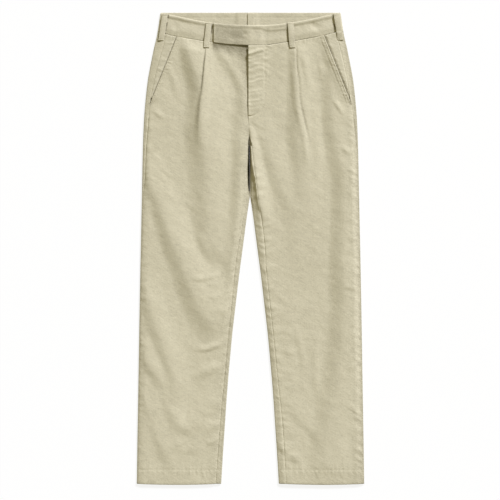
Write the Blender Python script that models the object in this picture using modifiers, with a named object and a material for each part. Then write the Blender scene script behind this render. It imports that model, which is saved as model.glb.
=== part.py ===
"""Pleated linen trousers lying flat with the front up, as the pieces a maker cuts.

Each piece is one closed shell: an open surface, its outer face, thickened inward.
Metres in the scene, +Z up, +Y toward the waist, wearer's left at +X, origin at the
middle of the underside. Every size and table below is in millimetres.
"""
import math

import bpy
import numpy as np

# ---- cloth and clearances
CLOTH = 1.2          # wall of one layer
HEM_CLOTH = 1.6      # wall where the hem is turned up
BAND_CLOTH = 2.0     # wall of the folded waistband
TAPE_CLOTH = 1.0     # wall of the tape over the centre back seam
LOOP_CLOTH = 1.5     # wall of a belt loop
GAP = 0.3            # clearance between pieces
HALF_GAP = GAP / 2
LAYER = CLOTH + GAP  # step up where one panel lies on another

# ---- overall sizes
LEG_RADIUS = 2.2     # half height of a leg along its pressed edges
BAND_RADIUS = 2.7    # half height of the waistband at the sides
SWELL = 0.8          # rise of the front from its edges to its middle
WAIST_LIFT = 2.0     # further rise of the front at the middle of the waist
BACK_TOP = 530.0     # top edge of the waistband at the back
SEAM_BACK = 488.5    # waist seam at the back
SEAM_FRONT = 455.0   # waist seam at the middle of the front
BAND_TOP_FRONT = 500.6
WAIST_DIP = 28.4     # how far the front of the waist drops from the sides
CROTCH_Y = 267.5
CROTCH_WALL = 2.8    # height of the centre back seam where it reaches the crotch
HEM_Y = -526.5
HEM_BOW = 3.6        # the middle of a hem hangs this much lower than its corners
HEM_TURN = 34.0

# ---- outline: half width of the garment by height
OUTLINE_COLUMNS = ("y", "half_width")
OUTLINE = [
    (-532, 255.8), (-430, 254.3), (-295, 252.0), (-160, 249.8), (-25, 247.3),
    (110, 244.4), (222, 242.1), (290, 239.4), (335, 235.8), (380, 230.6),
    (425, 222.2), (452, 216.7), (479, 210.4), (515, 204.8), (532, 202.3),
]
# half of the space between the legs by height
FORK_COLUMNS = ("y", "half_space")
FORK = [
    (-532, 64.9), (-464, 60.8), (-396, 56.3), (-329, 51.8), (-261, 46.1),
    (-194, 39.9), (-126, 32.1), (-59, 24.2), (9, 15.2), (76, 6.4), (117, 0.15),
]
# centre line of the front: fly edge, crotch and the line where the legs touch
CENTRE_COLUMNS = ("y", "x")
CENTRE = [(-532, -1.1), (117, -1.1), (200, -2.2), (267, -3.3), (300, -4.8), (532, -4.8)]
CENTRE_BACK_TOP = -8.0
# seams seen from above: width of the strip of back panel that shows beside the front
SEAM_COLUMNS = ("y", "strip")
OUTSEAM_RIGHT = [
    (-532, 2.6), (100, 2.6), (153, 5.9), (190, 6.8), (227, 7.7),
    (283, 10.0), (340, 10.8), (383, 14.6), (420, 17.0), (462, 19.7), (500, 19.8),
]
OUTSEAM_LEFT = [
    (-532, 2.6), (200, 2.6), (236, 4.1), (270, 6.5), (309, 8.6),
    (339, 12.3), (377, 14.2), (415, 15.2), (462, 15.9), (500, 16.0),
]
INSEAM_RIGHT = [
    (-532, 12.4), (-385, 10.8), (-304, 8.8), (-160, 8.8), (-14, 10.8),
    (42, 7.7), (110, 6.3), (178, 5.9), (222, 3.6), (267, 2.6),
]
INSEAM_LEFT = [
    (-532, 16.2), (-403, 16.7), (-304, 13.3), (-191, 12.2), (-43, 13.3),
    (-2, 17.1), (42, 18.0), (117, 17.3), (155, 13.5), (189, 9.5), (222, 6.5), (267, 2.6),
]
# waist seam on the front, lowest at the fly
SEAM = [
    (-215, 488.3), (-206, 487.4), (-192, 482.5), (-176, 477.4), (-158, 474.1), (-136, 470.5),
    (-118, 467.3), (-77, 460.8), (-50, 457.6), (-20, 455.6), (8, 455.0), (32, 455.8),
    (55, 458.8), (75, 462.2), (111, 467.8), (133, 471.8), (156, 476.4), (174, 480.6),
    (192, 485.2), (206, 487.9), (215, 488.6),
]
# crest of the pleat and of the leg below it
PLEAT_RIGHT = [
    (-532, -155), (-300, -140), (-25, -113), (110, -118), (290, -118),
    (357, -112), (425, -105.5), (448, -101.5), (500, -97),
]
PLEAT_LEFT = [
    (-532, 158), (-300, 150), (-25, 140), (110, 135), (222, 124),
    (335, 117), (380, 111), (448, 104.5), (500, 101.5),
]
PLEAT_STEP = 2.0     # height of the folded edge of the pleat below the waist seam
PLEAT_END_Y = 290    # the folded edge has opened out here
PLEAT_OPEN_WIDTH = 11.0

# ---- slanted pocket
POCKET_TOP_X = {-1: -164.0, 1: 164.6}   # upper end of the opening, at POCKET_TOP_Y
POCKET_TOP_Y = 477.0
POCKET_END_Y = 324.0                    # where the opening meets the outseam
POCKET_FADE = 17.0
FACING_END_Y = 338.0
FACING_UNDER = 18.0                     # how far the facing runs under the front
EDGE_FALL = 24.0                        # a raised edge sinks back over this width

# ---- fly and waistband tab
FLY_WIDTH = 22.0       # how far the right front runs under the left
FLY_CURVE_TOP = 345.0
FLY_END_Y = 305.0
TAB_END_X = -82.7      # the tab on the left waistband reaches here
TAB_FALL = (20.0, 38.0)

# ---- folds: ridges seen from above, from their upper to their lower end
# bend = sideways bow, left and right = width of each slope, rise = height
FOLD_COLUMNS = ("name", "x0", "y0", "x1", "y1", "bend", "left", "right", "rise")
FOLDS = [
    ("right_pleat_roll", -103, 461, -96, -29, 4, 30, 60, 3.2),
    ("right_inner_roll", -17, 308, -33, -115, -5, 20, 18, 2.2),
    ("right_thigh_to_knee", -218, 173, -69, -218, -12, 22, 46, 4.2),
    ("right_knee_outer", -222, -155, -150, -344, -8, 18, 34, 3.0),
    ("right_shin_outer", -231, -232, -148, -396, -3, 18, 26, 2.6),
    ("right_ankle_outer", -236, -335, -161, -506, -2, 20, 34, 3.2),
    ("right_knee_sag", -130, -218, -58, -205, 8, 14, 18, 2.0),
    ("right_shin_sag", -191, -380, -76, -353, 20, 16, 22, 2.2),
    ("right_side_roll", -224, 313, -224, -160, 0, 18, 24, 1.6),
    ("left_pleat_roll", 106, 461, 124, 133, 0, 26, 40, 3.0),
    ("left_outer_roll", 194, 358, 219, -115, 0, 30, 24, 3.6),
    ("left_outer_roll_low", 219, -70, 181, -430, 0, 26, 30, 3.2),
    ("left_inner_roll", 5, 281, 41, -47, 0, 12, 30, 2.6),
    ("left_crotch_to_knee", 59, 245, 131, -92, 0, 34, 40, 2.6),
    ("left_shin_short", 84, -340, 133, -394, 0, 14, 24, 2.2),
    ("left_ankle_short", 82, -452, 133, -482, 0, 14, 20, 1.8),
]

# ---- belt loops on the front: middle of the top end and of the bottom end
LOOP_COLUMNS = ("name", "x_top", "x_bottom", "y_bottom", "width")
FRONT_LOOPS = [
    ("belt_loop_side_right", -191.4, -201.5, 467.0, 12.0),
    ("belt_loop_front_right", -93.7, -99.0, 451.0, 12.2),
    ("belt_loop_front_left", 88.8, 94.2, 450.5, 12.2),
    ("belt_loop_side_left", 193.0, 201.4, 468.0, 12.9),
]
LOOP_ARCH = 0.9
BACK_LOOP_WIDTH = 12.0
BACK_LOOP_END_Y = 478.0
BACK_ARCH = LOOP_CLOTH + GAP
TAPE_X = (-6.4, 7.6)
TAPE_Y = (491.5, 528.5)


def smooth(t):
    """0 below 0, 1 above 1, eased between."""
    t = np.clip(t, 0.0, 1.0)
    return t * t * (3.0 - 2.0 * t)


def curve(rows):
    """Smooth curve through a table of (position, value) rows sorted by position."""
    at = np.array([row[0] for row in rows], float)
    value = np.array([row[1] for row in rows], float)
    secant = np.diff(value) / np.diff(at)
    before, after = secant[:-1], secant[1:]
    level = before * after <= 0.0
    mean = 2.0 * before * after / np.where(level, 1.0, before + after)
    slope = np.concatenate([secant[:1], np.where(level, 0.0, mean), secant[-1:]])

    def evaluate(y):
        y = np.clip(np.asarray(y, float), at[0], at[-1])
        i = np.clip(np.searchsorted(at, y) - 1, 0, len(at) - 2)
        span = at[i + 1] - at[i]
        t = (y - at[i]) / span
        low = value[i] * (1 + 2 * t) * (1 - t) ** 2 + slope[i] * span * t * (1 - t) ** 2
        high = value[i + 1] * t * t * (3 - 2 * t) - slope[i + 1] * span * t * t * (1 - t)
        return low + high

    return evaluate


half_width = curve(OUTLINE)
half_space = curve(FORK)
centre = curve(CENTRE)
outseam = {-1: curve(OUTSEAM_RIGHT), 1: curve(OUTSEAM_LEFT)}
inseam = {-1: curve(INSEAM_RIGHT), 1: curve(INSEAM_LEFT)}
pleat_x = {-1: curve(PLEAT_RIGHT), 1: curve(PLEAT_LEFT)}
seam_curve = curve(SEAM)


def dip(x, reach):
    """Share of the dip of the front waist regained at x, levelling off past the reach."""
    u = (np.asarray(x, float) / reach) ** 2
    return u / (1.0 + u ** 8) ** 0.125


def seam_y(x):
    """Waist seam on the front."""
    return seam_curve(x)


def band_top_y(x):
    """Top edge of the waistband on the front."""
    return BAND_TOP_FRONT + WAIST_DIP * dip(x, 189.0)


def hem_y(q):
    """Hem line; q runs from 0 to 1 across the leg."""
    return HEM_Y - HEM_BOW * 4.0 * q * (1.0 - q)


def fold_height(x, y):
    total = np.zeros(np.broadcast(x, y).shape)
    for _, x0, y0, x1, y1, bend, left, right, rise in FOLDS:
        length = math.hypot(x1 - x0, y1 - y0)
        ux, uy = (x1 - x0) / length, (y1 - y0) / length
        along = ((x - x0) * ux + (y - y0) * uy) / length
        t = np.clip(along, 0.0, 1.0)
        across = (y - y0) * ux - (x - x0) * uy - bend * 4.0 * t * (1.0 - t)
        slope = 1.0 - np.where(across < 0.0, -across / left, across / right)
        ends = smooth(along / 0.18) * smooth((1.0 - along) / 0.18)
        total = np.maximum(total, rise * smooth(slope) * ends)
    return total


def legs_apart(y):
    """0 where the front is joined at the centre, 1 where each leg has its own edge."""
    return smooth((300.0 - y) / 37.5)


def top_z(side, x, y):
    """Outer face of the uppermost layer of panels."""
    from_outer = half_width(y) - side * x
    space = np.where(y > 117.0, HALF_GAP, half_space(y))
    from_inner = side * (x - centre(y)) - space
    apart = legs_apart(y)
    relief = fold_height(x, y)
    crest = pleat_x[side](y)
    open_edge = smooth((y - PLEAT_END_Y) / 60.0) * smooth((seam_y(x) - y) / 14.0)
    outward = side * (x - crest)
    step = np.where(outward > 0.0, smooth(1.0 - outward / PLEAT_STEP),
                    smooth(1.0 + outward / 26.0))
    relief = relief + PLEAT_STEP * step * open_edge
    relief = relief * smooth((seam_y(x) - y) / 22.0 + 0.15)
    relief = relief + SWELL
    relief = relief * smooth(from_outer / 16.0)
    relief = relief * (1.0 - apart * (1.0 - smooth(from_inner / 10.0)))
    lift = WAIST_LIFT * smooth((y - 370.0) / 80.0) * (1.0 - (x / 215.0) ** 2)
    return 2.0 * LEG_RADIUS + relief + lift * smooth(from_outer / 16.0)


def opening_x(side, y):
    """Edge of the front along the slanted pocket."""
    end_x = side * (half_width(POCKET_END_Y) - outseam[side](POCKET_END_Y) - GAP)
    t = (y - POCKET_END_Y) / (POCKET_TOP_Y - POCKET_END_Y)
    return end_x + (POCKET_TOP_X[side] - end_x) * t


def pocket_raise(side, x, y):
    """How far the front stands above the general level beside the pocket opening."""
    inward = side * (opening_x(side, y) - x)
    return LAYER * smooth((y - POCKET_END_Y) / POCKET_FADE) * (1.0 - smooth(inward / EDGE_FALL))


def fly_raise(x, y):
    """How far the left front stands above the general level beside the fly edge."""
    return LAYER * smooth((y - 275.0) / 25.0) * (1.0 - smooth((x - centre(y)) / EDGE_FALL))


def front_z(side, x, y):
    z = top_z(side, x, y) + pocket_raise(side, x, y)
    if side > 0:
        return z + fly_raise(x, y)
    under = (y > FLY_END_Y) & (x > centre(y))
    return z + np.where(under, fly_raise(x, y) - LAYER, 0.0)


def front_outer_x(side, y):
    seam = side * (half_width(y) - outseam[side](y) - HALF_GAP)
    return np.where(y > POCKET_END_Y, opening_x(side, y), seam)


def front_inner_x(side, y):
    apart_x = centre(y) + side * (np.where(y > 117.0, HALF_GAP, half_space(y))
                                  + inseam[side](y) + GAP + 0.5 * smooth((y - 225.0) / 25.0))
    joined_x = centre(y) + side * HALF_GAP
    if side < 0:
        t = np.clip((FLY_CURVE_TOP - y) / (FLY_CURVE_TOP - FLY_END_Y), 0.0, 1.0)
        under = centre(y) + FLY_WIDTH * np.sqrt(1.0 - t * t)
        joined_x = np.where(y > FLY_END_Y + 1.0, under, joined_x)
    return np.where(y > CROTCH_Y, joined_x, apart_x)


def back_arch(x, y):
    """Rise of the back over the belt loop beneath it."""
    beside = smooth((30.0 - np.abs(x - CENTRE_BACK_TOP)) / 13.0)
    return BACK_ARCH * beside * smooth((y - BACK_LOOP_END_Y + 14.0) / 10.0)


def band_z(side, x, y):
    """Outer face of the waistband on the front, under the tab."""
    from_outer = half_width(y) - side * x
    rise = 2.4 * smooth(from_outer / 80.0)
    height = band_top_y(x) - seam_y(x)
    t = (y - seam_y(x)) / height
    cushion = 0.35 * np.sin(math.pi * np.clip(t, 0.0, 1.0)) * smooth(from_outer / 16.0)
    return 2.0 * BAND_RADIUS + rise + cushion


def tab_raise(x):
    return (BAND_CLOTH + GAP) * (1.0 - smooth((x - TAB_FALL[0]) / (TAB_FALL[1] - TAB_FALL[0])))


def cloth_material(name, color, roughness):
    material = bpy.data.materials.new(name)
    material.use_nodes = True
    shader = material.node_tree.nodes["Principled BSDF"]
    shader.inputs["Base Color"].default_value = (*color, 1.0)
    shader.inputs["Roughness"].default_value = roughness
    return material


def add_shell(name, points, wall, look, flip=False, weights=None, thin=1.0):
    """Closed shell from a grid of points on its outer face, thickened inward."""
    rows, cols = points.shape[:2]
    faces = []
    for i in range(rows - 1):
        for j in range(cols - 1):
            a = i * cols + j
            quad = (a, a + cols, a + cols + 1, a + 1)
            faces.append(quad[::-1] if flip else quad)
    mesh = bpy.data.meshes.new(name)
    mesh.from_pydata([tuple(p) for p in (points * 0.001).reshape(-1, 3)], [], faces)
    mesh.materials.append(materials[look])
    mesh.shade_smooth()
    obj = bpy.data.objects.new(name, mesh)
    collection.objects.link(obj)
    thicken = obj.modifiers.new("cloth", "SOLIDIFY")
    thicken.thickness = wall * 0.001
    thicken.offset = -1.0
    thicken.use_even_offset = True
    if weights is not None:
        group = obj.vertex_groups.new(name="hem")
        for index, weight in enumerate(np.asarray(weights).reshape(-1)):
            group.add([index], float(weight), "REPLACE")
        thicken.vertex_group = "hem"
        thicken.thickness_vertex_group = thin
    return obj


def leg_rows():
    """Heights of the rows from just above the crotch to the hem, the same on every panel."""
    turn = HEM_Y + HEM_TURN
    rows = [CROTCH_Y + offset for offset in (2.0, -1.5, -5.0, -12.5, -20.5, -29.0)]
    rows += list(np.linspace(rows[-1], 117.0, 5))[1:]
    rows += list(np.linspace(117.0, turn, 21))[1:]
    rows += list(np.linspace(turn, HEM_Y, 3))[1:]
    return np.array(rows)


def front_columns(side, y):
    """Across the front at height y: outer edge, outer part, fold of the pleat, inner part."""
    outer, inner = float(front_outer_x(side, y)), float(front_inner_x(side, y))
    crest = float(pleat_x[side](y))
    opened = 1.0 - float(smooth((y - 40.0) / 250.0))
    foot = crest + side * (PLEAT_STEP + (PLEAT_OPEN_WIDTH - PLEAT_STEP) * opened)
    edge = 2.6 * side
    outer_part = np.linspace(outer - edge, foot, 8)
    inner_part = np.linspace(crest, inner + edge, 9)
    return np.concatenate([[outer], outer_part, inner_part, [inner]])


def add_front(side, name):
    """Front panel: outseam or pocket edge to inseam or centre front."""
    lower = leg_rows()
    columns = len(front_columns(side, 0.0))
    grid = []
    for share in np.linspace(0.0, 1.0, 14)[:-1]:
        ys = np.full(columns, SEAM_FRONT - 10.0)
        for _ in range(4):
            xs = np.array([front_columns(side, y)[j] for j, y in enumerate(ys)])
            ys = (seam_y(xs) - HALF_GAP) * (1.0 - share) + lower[0] * share
        grid.append((xs, ys))
    for y in lower:
        xs = front_columns(side, y)
        q = (xs - xs[0]) / (xs[-1] - xs[0])
        ys = y + (hem_y(q) - HEM_Y) * smooth((HEM_Y + 160.0 - y) / 160.0)
        xs = np.array([front_columns(side, v)[j] for j, v in enumerate(ys)])
        grid.append((xs, ys))
    points = np.array([np.stack([xs, ys, front_z(side, xs, ys)], axis=-1) for xs, ys in grid])
    in_hem = (points[:, :, 1] < HEM_Y + HEM_TURN + 1.0).astype(float)
    add_shell(name, points, HEM_CLOTH, "panel_linen", side > 0, in_hem, CLOTH / HEM_CLOTH)


def arc_position(strip, radius):
    """Length along the section, from the middle of the edge up to this strip width."""
    if strip < radius:
        return radius * math.acos(1.0 - strip / radius)
    return radius * math.pi / 2.0 + strip - radius


def edge_section(a, radius):
    """Distance from the edge and height at length a along a rounded edge."""
    quarter = radius * math.pi / 2.0
    if abs(a) < quarter:
        angle = a / radius
        return radius * (1.0 - math.cos(angle)), radius * (1.0 + math.sin(angle))
    return radius + abs(a) - quarter, (2.0 * radius if a > 0 else 0.0)


def outer_section(side, y):
    """Section of the back panel from the outseam round the outer edge to the underside."""
    radius = LEG_RADIUS
    quarter = radius * math.pi / 2.0
    start = arc_position(float(outseam[side](y)) - HALF_GAP, radius)
    split = min(start * 0.6, quarter)
    positions = list(np.linspace(start, split, 4)) + list(np.linspace(split, -quarter, 5)[1:])
    section = np.array([edge_section(a, radius) for a in positions])
    return side * (float(half_width(y)) - section[:, 0]), section[:, 1]


def back_inner_path(side, y):
    """Section of the back panel near the centre back or the inner edge of the leg.

    Above the crotch it ends at the centre back seam, which climbs toward the crotch as a
    low wall; below, the wall closes over the edge of the leg as far as the inseam.
    """
    radius = LEG_RADIUS
    quarter = radius * math.pi / 2.0
    flat = 31.0
    closing = float(smooth((CROTCH_Y - 5.0 - y) / 24.0))
    low_end = radius * math.asin(CROTCH_WALL / radius - 1.0)
    if y > CROTCH_Y:
        base_x = centre(y) + (CENTRE_BACK_TOP + 4.8) * smooth((y - 300.0) / 120.0)
        base_x = base_x + side * HALF_GAP
        wall = CROTCH_WALL * float(smooth((330.0 - y) / 58.0))
        corner = max(min(radius, wall * 0.78), 1e-6)
    else:
        base_x = centre(y) + side * (HALF_GAP if y > 117.0 else float(half_space(y)))
        wall = CROTCH_WALL
        corner = radius
    path = [(flat, 0.0), (corner, 0.0)]
    for k in range(1, 9):
        angle = math.pi / 2.0 * k / 8
        path.append((corner * (1.0 - math.sin(angle)), corner * (1.0 - math.cos(angle))))
    end = low_end
    if y <= CROTCH_Y:
        full_end = arc_position(float(inseam[side](y)), radius)
        end = low_end + (full_end - low_end) * closing
        for k in range(1, 13):
            path.append(edge_section(end * k / 12, radius))
    elif wall > corner:
        path.append((0.0, wall))
    path = np.array(path)
    steps = np.hypot(*np.diff(path, axis=0).T)
    length = np.concatenate([[0.0], np.cumsum(steps)])
    level = flat - corner
    split = level + quarter + min(end * 0.6, quarter)
    rest = np.linspace(level, length[-1], 8)
    closed = np.concatenate([np.linspace(level, split, 5), np.linspace(split, length[-1], 4)[1:]])
    if y <= CROTCH_Y:
        rest = rest * (1.0 - closing) + closed * closing
    keyed = np.concatenate([[0.0, 0.5 * level], rest])
    share = float(smooth(wall / CROTCH_WALL))
    keyed = np.linspace(0.0, length[-1], 10) * (1.0 - share) + keyed * share
    d = np.interp(keyed, length, path[:, 0])
    z = np.interp(keyed, length, path[:, 1])
    return base_x + side * d, z


def add_back(side, name):
    """Back panel: from the outseam round the outer edge, flat beneath, to the centre back
    or, below the crotch, up the inner edge to the inseam."""
    upper = [SEAM_BACK, 482.0, 473.0, 464.0, 448.0, 430.0, 410.0, 390.0, 370.0, 350.0,
             335.0, 318.0, 302.0, 286.0]
    grid = []
    for y in upper + list(leg_rows()):
        outer_x, outer_z = outer_section(side, y)
        inner_x, inner_z = back_inner_path(side, y)
        middle_x = np.linspace(outer_x[-1], inner_x[0], 5)[1:-1]
        xs = np.concatenate([outer_x, middle_x, inner_x])
        zs = np.concatenate([outer_z, np.zeros(3), inner_z])
        height = np.clip(zs / (2.0 * LEG_RADIUS), 0.0, 1.0)
        seam_here = seam_y(xs) * height + SEAM_BACK * (1.0 - height) - HALF_GAP
        ys = y + (seam_here - SEAM_BACK) * smooth((y - 440.0) / 40.0)
        edge = side * float(half_width(y))
        q = np.clip((xs - edge) / (inner_x[-1] - edge), 0.0, 1.0)
        ys = ys + (hem_y(q) - HEM_Y) * smooth((HEM_Y + 160.0 - y) / 160.0)
        for k in range(len(outer_x)):
            xs[k] = outer_section(side, ys[k])[0][k]
        on_top = zs > 2.0 * LEG_RADIUS - 1e-6
        zs = np.where(on_top, top_z(side, xs, ys), zs)
        zs = np.where(zs < 0.01, back_arch(xs, ys), zs)
        grid.append(np.stack([xs, ys, zs], axis=-1))
    points = np.array(grid)
    in_hem = ((points[:, :, 1] < HEM_Y + HEM_TURN + 1.0) & (points[:, :, 2] < 0.01)).astype(float)
    add_shell(name, points, HEM_CLOTH, "panel_linen", side < 0, in_hem, CLOTH / HEM_CLOTH)


def add_facing(side, name):
    """Pocket facing: outseam to a little way under the front."""
    grid = []
    for share in np.linspace(0.0, 1.0, 9):
        q = np.linspace(0.0, 1.0, 7)
        ys = np.full(7, 480.0)
        for _ in range(4):
            start = side * (half_width(ys) - outseam[side](ys) - HALF_GAP)
            end = opening_x(side, ys) - side * FACING_UNDER
            xs = start + (end - start) * q
            ys = (seam_y(xs) - HALF_GAP) * (1.0 - share) + FACING_END_Y * share
        zs = top_z(side, xs, ys) + pocket_raise(side, xs, ys) - LAYER
        zs = zs - 0.5 * smooth((FACING_END_Y + 30.0 - ys) / 24.0)
        grid.append(np.stack([xs, ys, zs], axis=-1))
    add_shell(name, np.array(grid), CLOTH, "facing_linen", side > 0)


def add_band(side, name):
    """Half of the waistband: centre back, round the side, to the front end."""
    radius = BAND_RADIUS
    quarter = radius * math.pi / 2.0
    start_x = CENTRE_BACK_TOP + side * HALF_GAP
    end_x = TAB_END_X if side > 0 else float(centre(500.0)) + FLY_WIDTH
    shares = np.linspace(1.0, 0.0, 5)
    grid = []
    for share in shares:
        back_y = SEAM_BACK + HALF_GAP + (BACK_TOP - SEAM_BACK - HALF_GAP) * share
        edge = float(half_width(back_y))
        first = start_x + side * np.array([0.0, 17.0, 23.5, 30.0])
        under = np.concatenate([first, np.linspace(first[-1], side * (edge - radius), 7)[1:]])
        a_list = np.linspace(-quarter, quarter, 8)[1:-1]
        turn = np.array([edge_section(a, radius) for a in a_list])
        over_start = side * (edge - radius)
        near = over_start - side * np.array([0.0, 5.0, 10.0, 16.0])
        if side > 0:
            over = np.concatenate([near, np.linspace(near[-1], 50.0, 10)[1:],
                                   [40.0, 33.0, 27.0, 20.0], np.linspace(20.0, end_x, 7)[1:]])
        else:
            over = np.concatenate([near, np.linspace(near[-1], end_x, 14)[1:]])
        xs = np.concatenate([under, side * (edge - turn[:, 0]), over])
        side_y = np.full(len(xs), back_y)
        front_y = seam_y(xs) + HALF_GAP
        front_y = front_y + (band_top_y(xs) - front_y) * share
        count = len(under)
        blend = np.concatenate([np.zeros(count), turn[:, 1] / (2.0 * radius), np.ones(len(over))])
        ys = side_y * (1.0 - blend) + front_y * blend
        zs = np.concatenate([back_arch(under, ys[:count]), turn[:, 1],
                             band_z(side, over, ys[count + len(turn):])])
        if side > 0:
            zs[count + len(turn):] += tab_raise(over)
        grid.append(np.stack([xs, ys, zs], axis=-1))
    add_shell(name, np.array(grid), BAND_CLOTH, "band_linen", side > 0)


def add_front_loop(name, x_top, x_bottom, y_bottom, width):
    side = -1 if x_top < 0 else 1
    y_top = float(band_top_y(x_top)) - 0.6
    grid = []
    for t in np.linspace(0.0, 1.0, 11):
        y = y_top + (y_bottom - y_top) * t
        xs = x_top + (x_bottom - x_top) * t + np.linspace(-0.5, 0.5, 4) * width
        ys = np.full(4, y)
        inside = side * np.minimum(side * xs, half_width(y) - 5.0)
        on_band = band_z(side, inside, ys)
        beside_opening = abs(x_top) > abs(POCKET_TOP_X[side])
        on_panel = (top_z if beside_opening else front_z)(side, inside, ys)
        seam_height = float(seam_y(x_bottom))
        share = smooth((seam_height + 1.5 - y) / 8.0)
        under = np.maximum(on_band * (1.0 - share) + on_panel * share, on_panel)
        under = np.where(y > seam_height - 1.0, np.maximum(under, on_band), under)
        rest = GAP + LOOP_CLOTH + (0.1 if beside_opening else 0.3 + 0.5 * t)
        zs = under + rest + LOOP_ARCH * math.sin(math.pi * t)
        grid.append(np.stack([xs, ys, zs], axis=-1))
    add_shell(name, np.array(grid), LOOP_CLOTH, "loop_linen")


def add_back_loop(name):
    grid = []
    for y in np.linspace(BACK_TOP - 1.5, BACK_LOOP_END_Y, 6):
        xs = CENTRE_BACK_TOP + np.linspace(-0.5, 0.5, 4) * BACK_LOOP_WIDTH
        grid.append(np.stack([xs, np.full(4, y), np.zeros(4)], axis=-1))
    add_shell(name, np.array(grid), LOOP_CLOTH, "loop_linen", True)


def add_tape(name):
    grid = []
    for y in np.linspace(TAPE_Y[1], TAPE_Y[0], 5):
        xs = np.linspace(TAPE_X[0], TAPE_X[1], 7)
        ys = np.full(7, y)
        zs = back_arch(xs, ys) + BAND_CLOTH + GAP + TAPE_CLOTH
        grid.append(np.stack([xs, ys, zs], axis=-1))
    add_shell(name, np.array(grid), TAPE_CLOTH, "facing_linen")


for old in list(bpy.data.objects):
    bpy.data.objects.remove(old, do_unlink=True)
collection = bpy.data.collections.new("linen_trousers")
bpy.context.scene.collection.children.link(collection)
materials = {
    "panel_linen": cloth_material("panel_linen", (0.60, 0.56, 0.39), 0.92),
    "facing_linen": cloth_material("facing_linen", (0.57, 0.53, 0.37), 0.92),
    "band_linen": cloth_material("band_linen", (0.59, 0.55, 0.385), 0.90),
    "loop_linen": cloth_material("loop_linen", (0.58, 0.54, 0.38), 0.90),
}

add_back(1, "back_left")
add_back(-1, "back_right")
add_facing(1, "pocket_facing_left")
add_facing(-1, "pocket_facing_right")
add_front(-1, "front_right")
add_front(1, "front_left")
add_band(-1, "waistband_right")
add_band(1, "waistband_left")
for loop in FRONT_LOOPS:
    add_front_loop(*loop)
add_back_loop("belt_loop_back")
add_tape("centre_back_tape")
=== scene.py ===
"""Looks of the pleated linen trousers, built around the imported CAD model.

Every piece is a closed thin shell on the form of its solid. Tables and section
functions are in millimetres; +X is the wearer's left, +Y is toward the waist, and
side is -1 for the wearer's right and 1 for the left.
"""

import math

import bpy
import numpy as np
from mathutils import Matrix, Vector


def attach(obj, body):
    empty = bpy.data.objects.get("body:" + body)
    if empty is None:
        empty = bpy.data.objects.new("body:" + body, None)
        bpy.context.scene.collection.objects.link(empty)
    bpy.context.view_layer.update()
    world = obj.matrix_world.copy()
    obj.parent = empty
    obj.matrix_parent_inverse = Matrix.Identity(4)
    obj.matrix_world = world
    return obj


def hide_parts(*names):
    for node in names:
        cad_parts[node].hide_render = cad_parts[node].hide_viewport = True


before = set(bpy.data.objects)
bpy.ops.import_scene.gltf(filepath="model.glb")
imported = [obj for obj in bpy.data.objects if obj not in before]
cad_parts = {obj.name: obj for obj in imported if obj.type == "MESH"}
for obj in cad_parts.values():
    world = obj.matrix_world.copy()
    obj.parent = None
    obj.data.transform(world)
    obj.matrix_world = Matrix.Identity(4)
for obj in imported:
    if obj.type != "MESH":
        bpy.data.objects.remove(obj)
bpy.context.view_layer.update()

# ---- sizes, mm
CLOTH = 1.1
BAND_CLOTH = 1.9
TAPE_CLOTH = 0.9
LOOP_CLOTH = 1.4
GAP = 0.3
HALF_GAP = GAP / 2
LAYER = 1.5              # one panel and the gap over it
LEG_RADIUS = 2.2
BAND_RADIUS = 2.7
SWELL = 1.9              # the legs stand this much over their edges
ROUNDING = 0.45          # how far a rim stands out, as a share of the wall, to 0.5 mm at most
WAIST_LIFT = 2.0         # the fronts rise this much toward the waist
HALF_WAIST = 215.0
SUNK = 3.0               # the back sinks this deep between the legs
BACK_TOP = 530.0
SEAM_BACK = 488.5
BAND_TOP_FRONT = 500.6
WAIST_DIP = 28.4         # the band top is this much lower in the middle than at the sides
CROTCH_Y = 267.5
CROTCH_WALL = 2.8        # height of the inner side of the back at the crotch
MEET_Y = 117.0           # the legs touch above this
HEM_Y = -528.2
HEM_BOW = 1.9            # the hem hangs this much lower in the middle of a leg
HEM_TURN = 34.0
HEM_STITCH_Y = HEM_Y + HEM_TURN - 3
CENTRE_BACK_TOP = -8.0
PLEAT_STEP = 2.0         # width of the step beside a pleat, and where it runs out
PLEAT_OPEN_WIDTH = 11.0
POCKET_TOP_X = {-1: -164.0, 1: 164.6}
POCKET_TOP_Y = 477.0
POCKET_END_Y = 324.0
POCKET_FADE = 17.0       # the opening lifts off over this height
FACING_END_Y = 338.0
FACING_UNDER = 18.0
EDGE_FALL = 24.0         # a raised edge falls to the general level over this width
FLY_WIDTH = 22.0
FLY_CURVE_TOP = 345.0
FLY_END_Y = 305.0
J_REACH = 36.4           # from the centre front to the row of stitches beside the fly
J_TURN_Y = 338.0         # the row curves below this
J_DROP = 41.0            # and meets the fly edge this much lower
TAB_END_X = -82.7
TAB_FALL = (20, 38)      # between these the raised tab falls to the band
FRONT_LOOPS = [          # name, x at the top and the bottom, y at the bottom, width
    ("belt_loop_side_right", -191.4, -201.5, 467.0, 12.0),
    ("belt_loop_front_right", -93.7, -99.0, 451.0, 12.2),
    ("belt_loop_front_left", 88.8, 94.2, 450.5, 12.2),
    ("belt_loop_side_left", 193.0, 201.4, 468.0, 12.9),
]
BACK_LOOP_WIDTH = 12.0
BACK_LOOP_END_Y = 478.0
BACK_ARCH = LOOP_CLOTH + GAP + 0.1   # the back rises this much over the loop beneath it
TAPE_X = (-6.4, 7.6)
TAPE_Y = (491.5, 528.5)

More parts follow.
